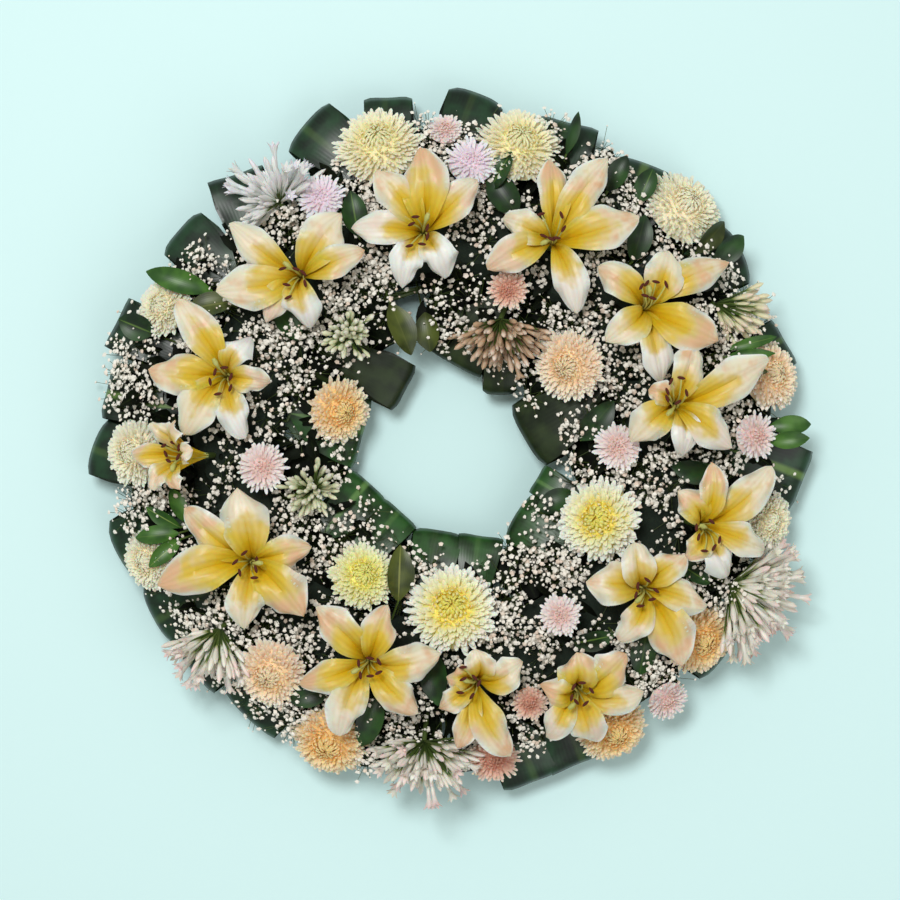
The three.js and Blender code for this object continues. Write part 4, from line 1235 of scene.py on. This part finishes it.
class WREATH_OT_foliage(bpy.types.Operator):
    """Fills behind the flowers with small dark leaves, coloured near black as painted shade"""

    bl_idname = "wreath.foliage"
    bl_label = "Small leaves"

    def execute(self, context):
        settings = context.scene.wreath_sizes
        finish = materials_by_name()
        posy = Posy()
        rng = chance_of(settings, "foliage")
        count = SMALL_LEAVES["count"]
        bearing = rng.uniform(0, 2 * math.pi, count)
        points = gap_points(bearing, rng, 14)
        points[:, 2] = rng.uniform(*SMALL_LEAVES["height"], count)
        radius = np.hypot(points[:, 0], points[:, 1])
        outward = unit(points * [1, 1, 0]) * np.sign(radius - RING_RADIUS)[:, None]
        ways = unit(outward + rng.normal(0, 0.8, (count, 3)) * [1, 1, 0.35] + [0, 0, 0.25])
        points = points - outward * 14
        lengths = rng.uniform(*SMALL_LEAVES["length"], count)
        widths = rng.uniform(*SMALL_LEAVES["width"], count)
        add_small_leaves(posy, points, ways, lengths, widths, rng)
        piece = posy.make("small_leaves", [finish["waxy_leaf_small"]])
        posy = Posy()
        width = OUTER_BACKING["width"]
        for bearing in OUTER_BACKING["bearings"]:
            leaf = (bearing + rng.uniform(-3, 3), rng.uniform(322, 334), width, rng.uniform(-10, 10))
            add_folded_leaf(posy, leaf, OUTER_BACKING["twig"], rng, sink=BACKING_DROP)
        width = INNER_BACKING["width"]
        for bearing in INNER_BACKING["bearings"]:
            edge = np.interp(bearing, *zip(*GYPSOPHILA_INNER))
            leaf = (bearing + rng.uniform(-3, 3), edge + 8, width, rng.uniform(-8, 8))
            add_folded_leaf(posy, leaf, INNER_BACKING["twig"], rng, sink=BACKING_DROP)
        piece = posy.make("backing_leaves", [finish["waxy_leaf_small"]])
        posy = Posy()
        kinds = ["dark", "bright", "olive"]
        for at, bearing, length, width, kind in SINGLE_LEAVES:
            point = np.array([[*at, crown(at, *SINGLE_LEAF_HEIGHT)]])
            way = unit(np.array([polar(bearing, 1, rng.uniform(0, 0.3))]))
            sizes = (np.array([length * 1.0]), np.array([width * 1.0]))
            add_small_leaves(posy, point, way, *sizes, rng, slot=kinds.index(kind), fine=True)
            add_stalks(posy, anchor(at), point, 1.1, around=5, rows=4, slot=3)
        skins = [finish["waxy_leaf_" + kind] for kind in kinds] + [finish["green_stalk"]]
        piece = posy.make("single_leaves", skins)
        return {"FINISHED"}


def gap_points(bearing, rng, margin):
    """Points spread evenly over the ring's face, as high as the gypsophila stands there."""
    degrees = np.degrees(bearing)
    inner = np.interp(degrees, *zip(*GYPSOPHILA_INNER)) + margin
    outer = np.interp(degrees, *zip(*GYPSOPHILA_OUTER)) - margin
    radius = np.sqrt(inner ** 2 + (outer ** 2 - inner ** 2) * rng.uniform(0, 1, len(bearing)) ** 0.8)
    top, fall = GYPSOPHILA_HEIGHT
    height = top - fall * (radius - RING_RADIUS) ** 2 + rng.uniform(-12, 8, len(bearing))
    return np.stack([radius * np.cos(bearing), radius * np.sin(bearing), height], 1)


def hidden_share(points):
    """1 where a lily, chrysanthemum or daisy hides a point from the front, and 0 elsewhere."""
    hidden = np.zeros(len(points), bool)
    for at, radius, _ in CHRYSANTHEMUMS + DAISIES:
        hidden |= np.hypot(points[:, 0] - at[0], points[:, 1] - at[1]) < radius * 0.85
    for plan in LILIES:
        offset = points[:, :2] - plan["at"]
        hidden |= np.hypot(offset[:, 0], offset[:, 1]) < 22
        for bearing, reach, width, _ in plan["petals"]:
            way = polar(bearing, 1)[:2]
            along = offset @ way
            aside = np.abs(offset @ [-way[1], way[0]])
            hidden |= (along > 0) & (along < reach * 0.9) & (aside < width * 0.7)
    return hidden.astype(float)


def thin_patches(points):
    """A patchy field, from 0 where gypsophila grows thick to 0.5 where it leaves the dark leaves bare."""
    x, y = points[:, 0], points[:, 1]
    rim = np.clip((np.hypot(x, y) - 290) / 60, 0, 1)
    field = np.sin(x / 13 + 1.7 * np.sin(y / 31)) * np.sin(y / 14 + 1.4 * np.sin(x / 27))
    field = field + np.sin((x - y) / 37) * 0.5
    return np.clip(field * 0.4 + 0.2, 0, 0.5) - rim * 0.35


def add_sprigs(posy, centres, radius, rng):
    """Sprigs of gypsophila: a stalk from the foam, and florets on threads from its top."""
    count = len(centres)
    spread = rng.normal(0, 1, (count, FLORETS_PER_SPRIG, 3)) * SPRIG["spread"]
    spread[..., 2] -= 0.03 * np.sum(spread[..., :2] ** 2, -1)
    florets = centres[:, None] + spread
    tops = centres - [0, 0, SPRIG["drop"]]
    roots = np.stack([anchor(centre[:2]) for centre in centres])
    # Painted shade: the stalks and threads take only the darker part of the stalk colour, so the gaps
    # between the florets stay dark.
    add_stalks(posy, roots, tops, SPRIG["stalk"], around=3, rows=3, slot=1, along=(0, 0.3))
    feet = np.repeat(tops, FLORETS_PER_SPRIG, 0)
    florets = florets.reshape(-1, 3)
    deep = florets[:, 2] < HIDDEN_BELOW
    shown = (hidden_share(florets) < 0.5) | ((rng.uniform(0, 1, len(florets)) < 0.3) & deep)
    florets, feet = florets[shown], feet[shown]
    add_stalks(posy, feet, florets, SPRIG["thread"], around=3, slot=1, along=(0.1, 0.6))
    add_florets(posy, florets, radius, rng)


def add_florets(posy, points, radius, rng):
    """Crumpled gypsophila florets: each a shallow cup with a ruffled rim."""
    n = len(points)
    size = (radius * (0.42 + 0.95 * rng.uniform(0, 1, n) ** 1.1))[:, None, None]
    beyond = np.linalg.norm(points[:, :2], axis=1) - RING_RADIUS
    outward = unit(points * [1, 1, 0]) * (beyond / 130)[:, None]
    axis = unit(outward + [0, 0, 1.0] + rng.normal(0, 0.3, (n, 3)))
    east = unit(np.cross(axis, rng.normal(0, 1, (n, 3))))
    north = np.cross(axis, east)
    around = 5
    angle = -np.arange(around) * 2 * math.pi / around
    circle = east[:, None] * np.cos(angle)[:, None] + north[:, None] * np.sin(angle)[:, None]
    rings = []
    for out, level, ruffle in ((0.25, -0.55, 0.0), (1.0, 0.0, 0.25), (0.5, 0.5, 0.12)):
        wobble = rng.uniform(-1, 1, (n, around, 1)) * ruffle
        ring = points[:, None] + circle * size * (out * (1 + wobble * 0.6))
        rings.append(ring + axis[:, None] * size * (level + wobble))
    posy.loft(np.stack(rings, 1), 0.5, np.linspace(0, 1, 3), rng.uniform(0, 1, n), slot=0)


class WREATH_OT_stage(bpy.types.Operator):
    """Makes the floor, the lights and the camera"""

    bl_idname = "wreath.stage"
    bl_label = "Stage"

    def execute(self, context):
        bpy.ops.object.select_all(action="DESELECT")
        bpy.ops.mesh.primitive_plane_add(size=FLOOR_SIZE)
        floor = context.active_object
        floor.name = "studio_floor"
        floor.data.materials.append(bpy.data.materials["studio_paper"])
        for name, spot, size, power in LAMPS:
            data = bpy.data.lights.new(name, "AREA")
            data.shape = "DISK"
            data.size = size
            data.energy = power
            lamp = bpy.data.objects.new(name, data)
            lamp.location = spot
            lamp.rotation_euler = (Vector((0, 0, 0.05)) - Vector(spot)).to_track_quat("-Z", "Y").to_euler()
            context.scene.collection.objects.link(lamp)
        world = bpy.data.worlds.new("studio_air")
        world.use_nodes = True
        sky = world.node_tree.nodes["Background"]
        sky.inputs["Color"].default_value = linear("#FFFCF6")
        sky.inputs["Strength"].default_value = SKY_STRENGTH
        context.scene.world = world
        context.scene.view_settings.view_transform = "Standard"
        data = bpy.data.cameras.new("camera")
        data.lens = CAMERA_LENS
        data.sensor_width = 36
        camera = bpy.data.objects.new("camera", data)
        camera.location = (0, 0, CAMERA_HEIGHT)
        context.scene.collection.objects.link(camera)
        context.scene.camera = camera
        return {"FINISHED"}


class WREATH_PT_panel(bpy.types.Panel):
    """Lists the wreath's pieces, sizes and colours"""

    bl_idname = "WREATH_PT_panel"
    bl_label = "Funeral Wreath"
    bl_space_type = "VIEW_3D"
    bl_region_type = "UI"
    bl_category = "Wreath"

    def draw(self, context):
        layout = self.layout
        for group in (context.scene.wreath_sizes, context.scene.wreath_colours):
            for name in group.__annotations__:
                layout.prop(group, name)
        for step in STEPS:
            layout.operator(step.bl_idname)


STEPS = (WREATH_OT_materials, WREATH_OT_base, WREATH_OT_leaves, WREATH_OT_agapanthus,
         WREATH_OT_chrysanthemums, WREATH_OT_daisies, WREATH_OT_lilies, WREATH_OT_gypsophila,
         WREATH_OT_foliage, WREATH_OT_stage)
CLASSES = (WreathColours, WreathSizes) + STEPS + (WREATH_PT_panel,)


def register():
    """Makes Blender know the wreath's classes and settings."""
    for made in CLASSES:
        bpy.utils.register_class(made)
    bpy.types.Scene.wreath_colours = bpy.props.PointerProperty(type=WreathColours)
    bpy.types.Scene.wreath_sizes = bpy.props.PointerProperty(type=WreathSizes)


def unregister():
    """Takes the wreath's classes and settings out of Blender."""
    del bpy.types.Scene.wreath_sizes
    del bpy.types.Scene.wreath_colours
    for made in reversed(CLASSES):
        bpy.utils.unregister_class(made)


def main():
    """Builds the whole wreath."""
    register()
    bpy.ops.wreath.materials()
    bpy.ops.wreath.base()
    bpy.ops.wreath.leaves()
    bpy.ops.wreath.agapanthus()
    bpy.ops.wreath.chrysanthemums()
    bpy.ops.wreath.daisies()
    bpy.ops.wreath.lilies()
    bpy.ops.wreath.gypsophila()
    bpy.ops.wreath.foliage()
    bpy.ops.wreath.stage()


if __name__ == "__main__":
    main()
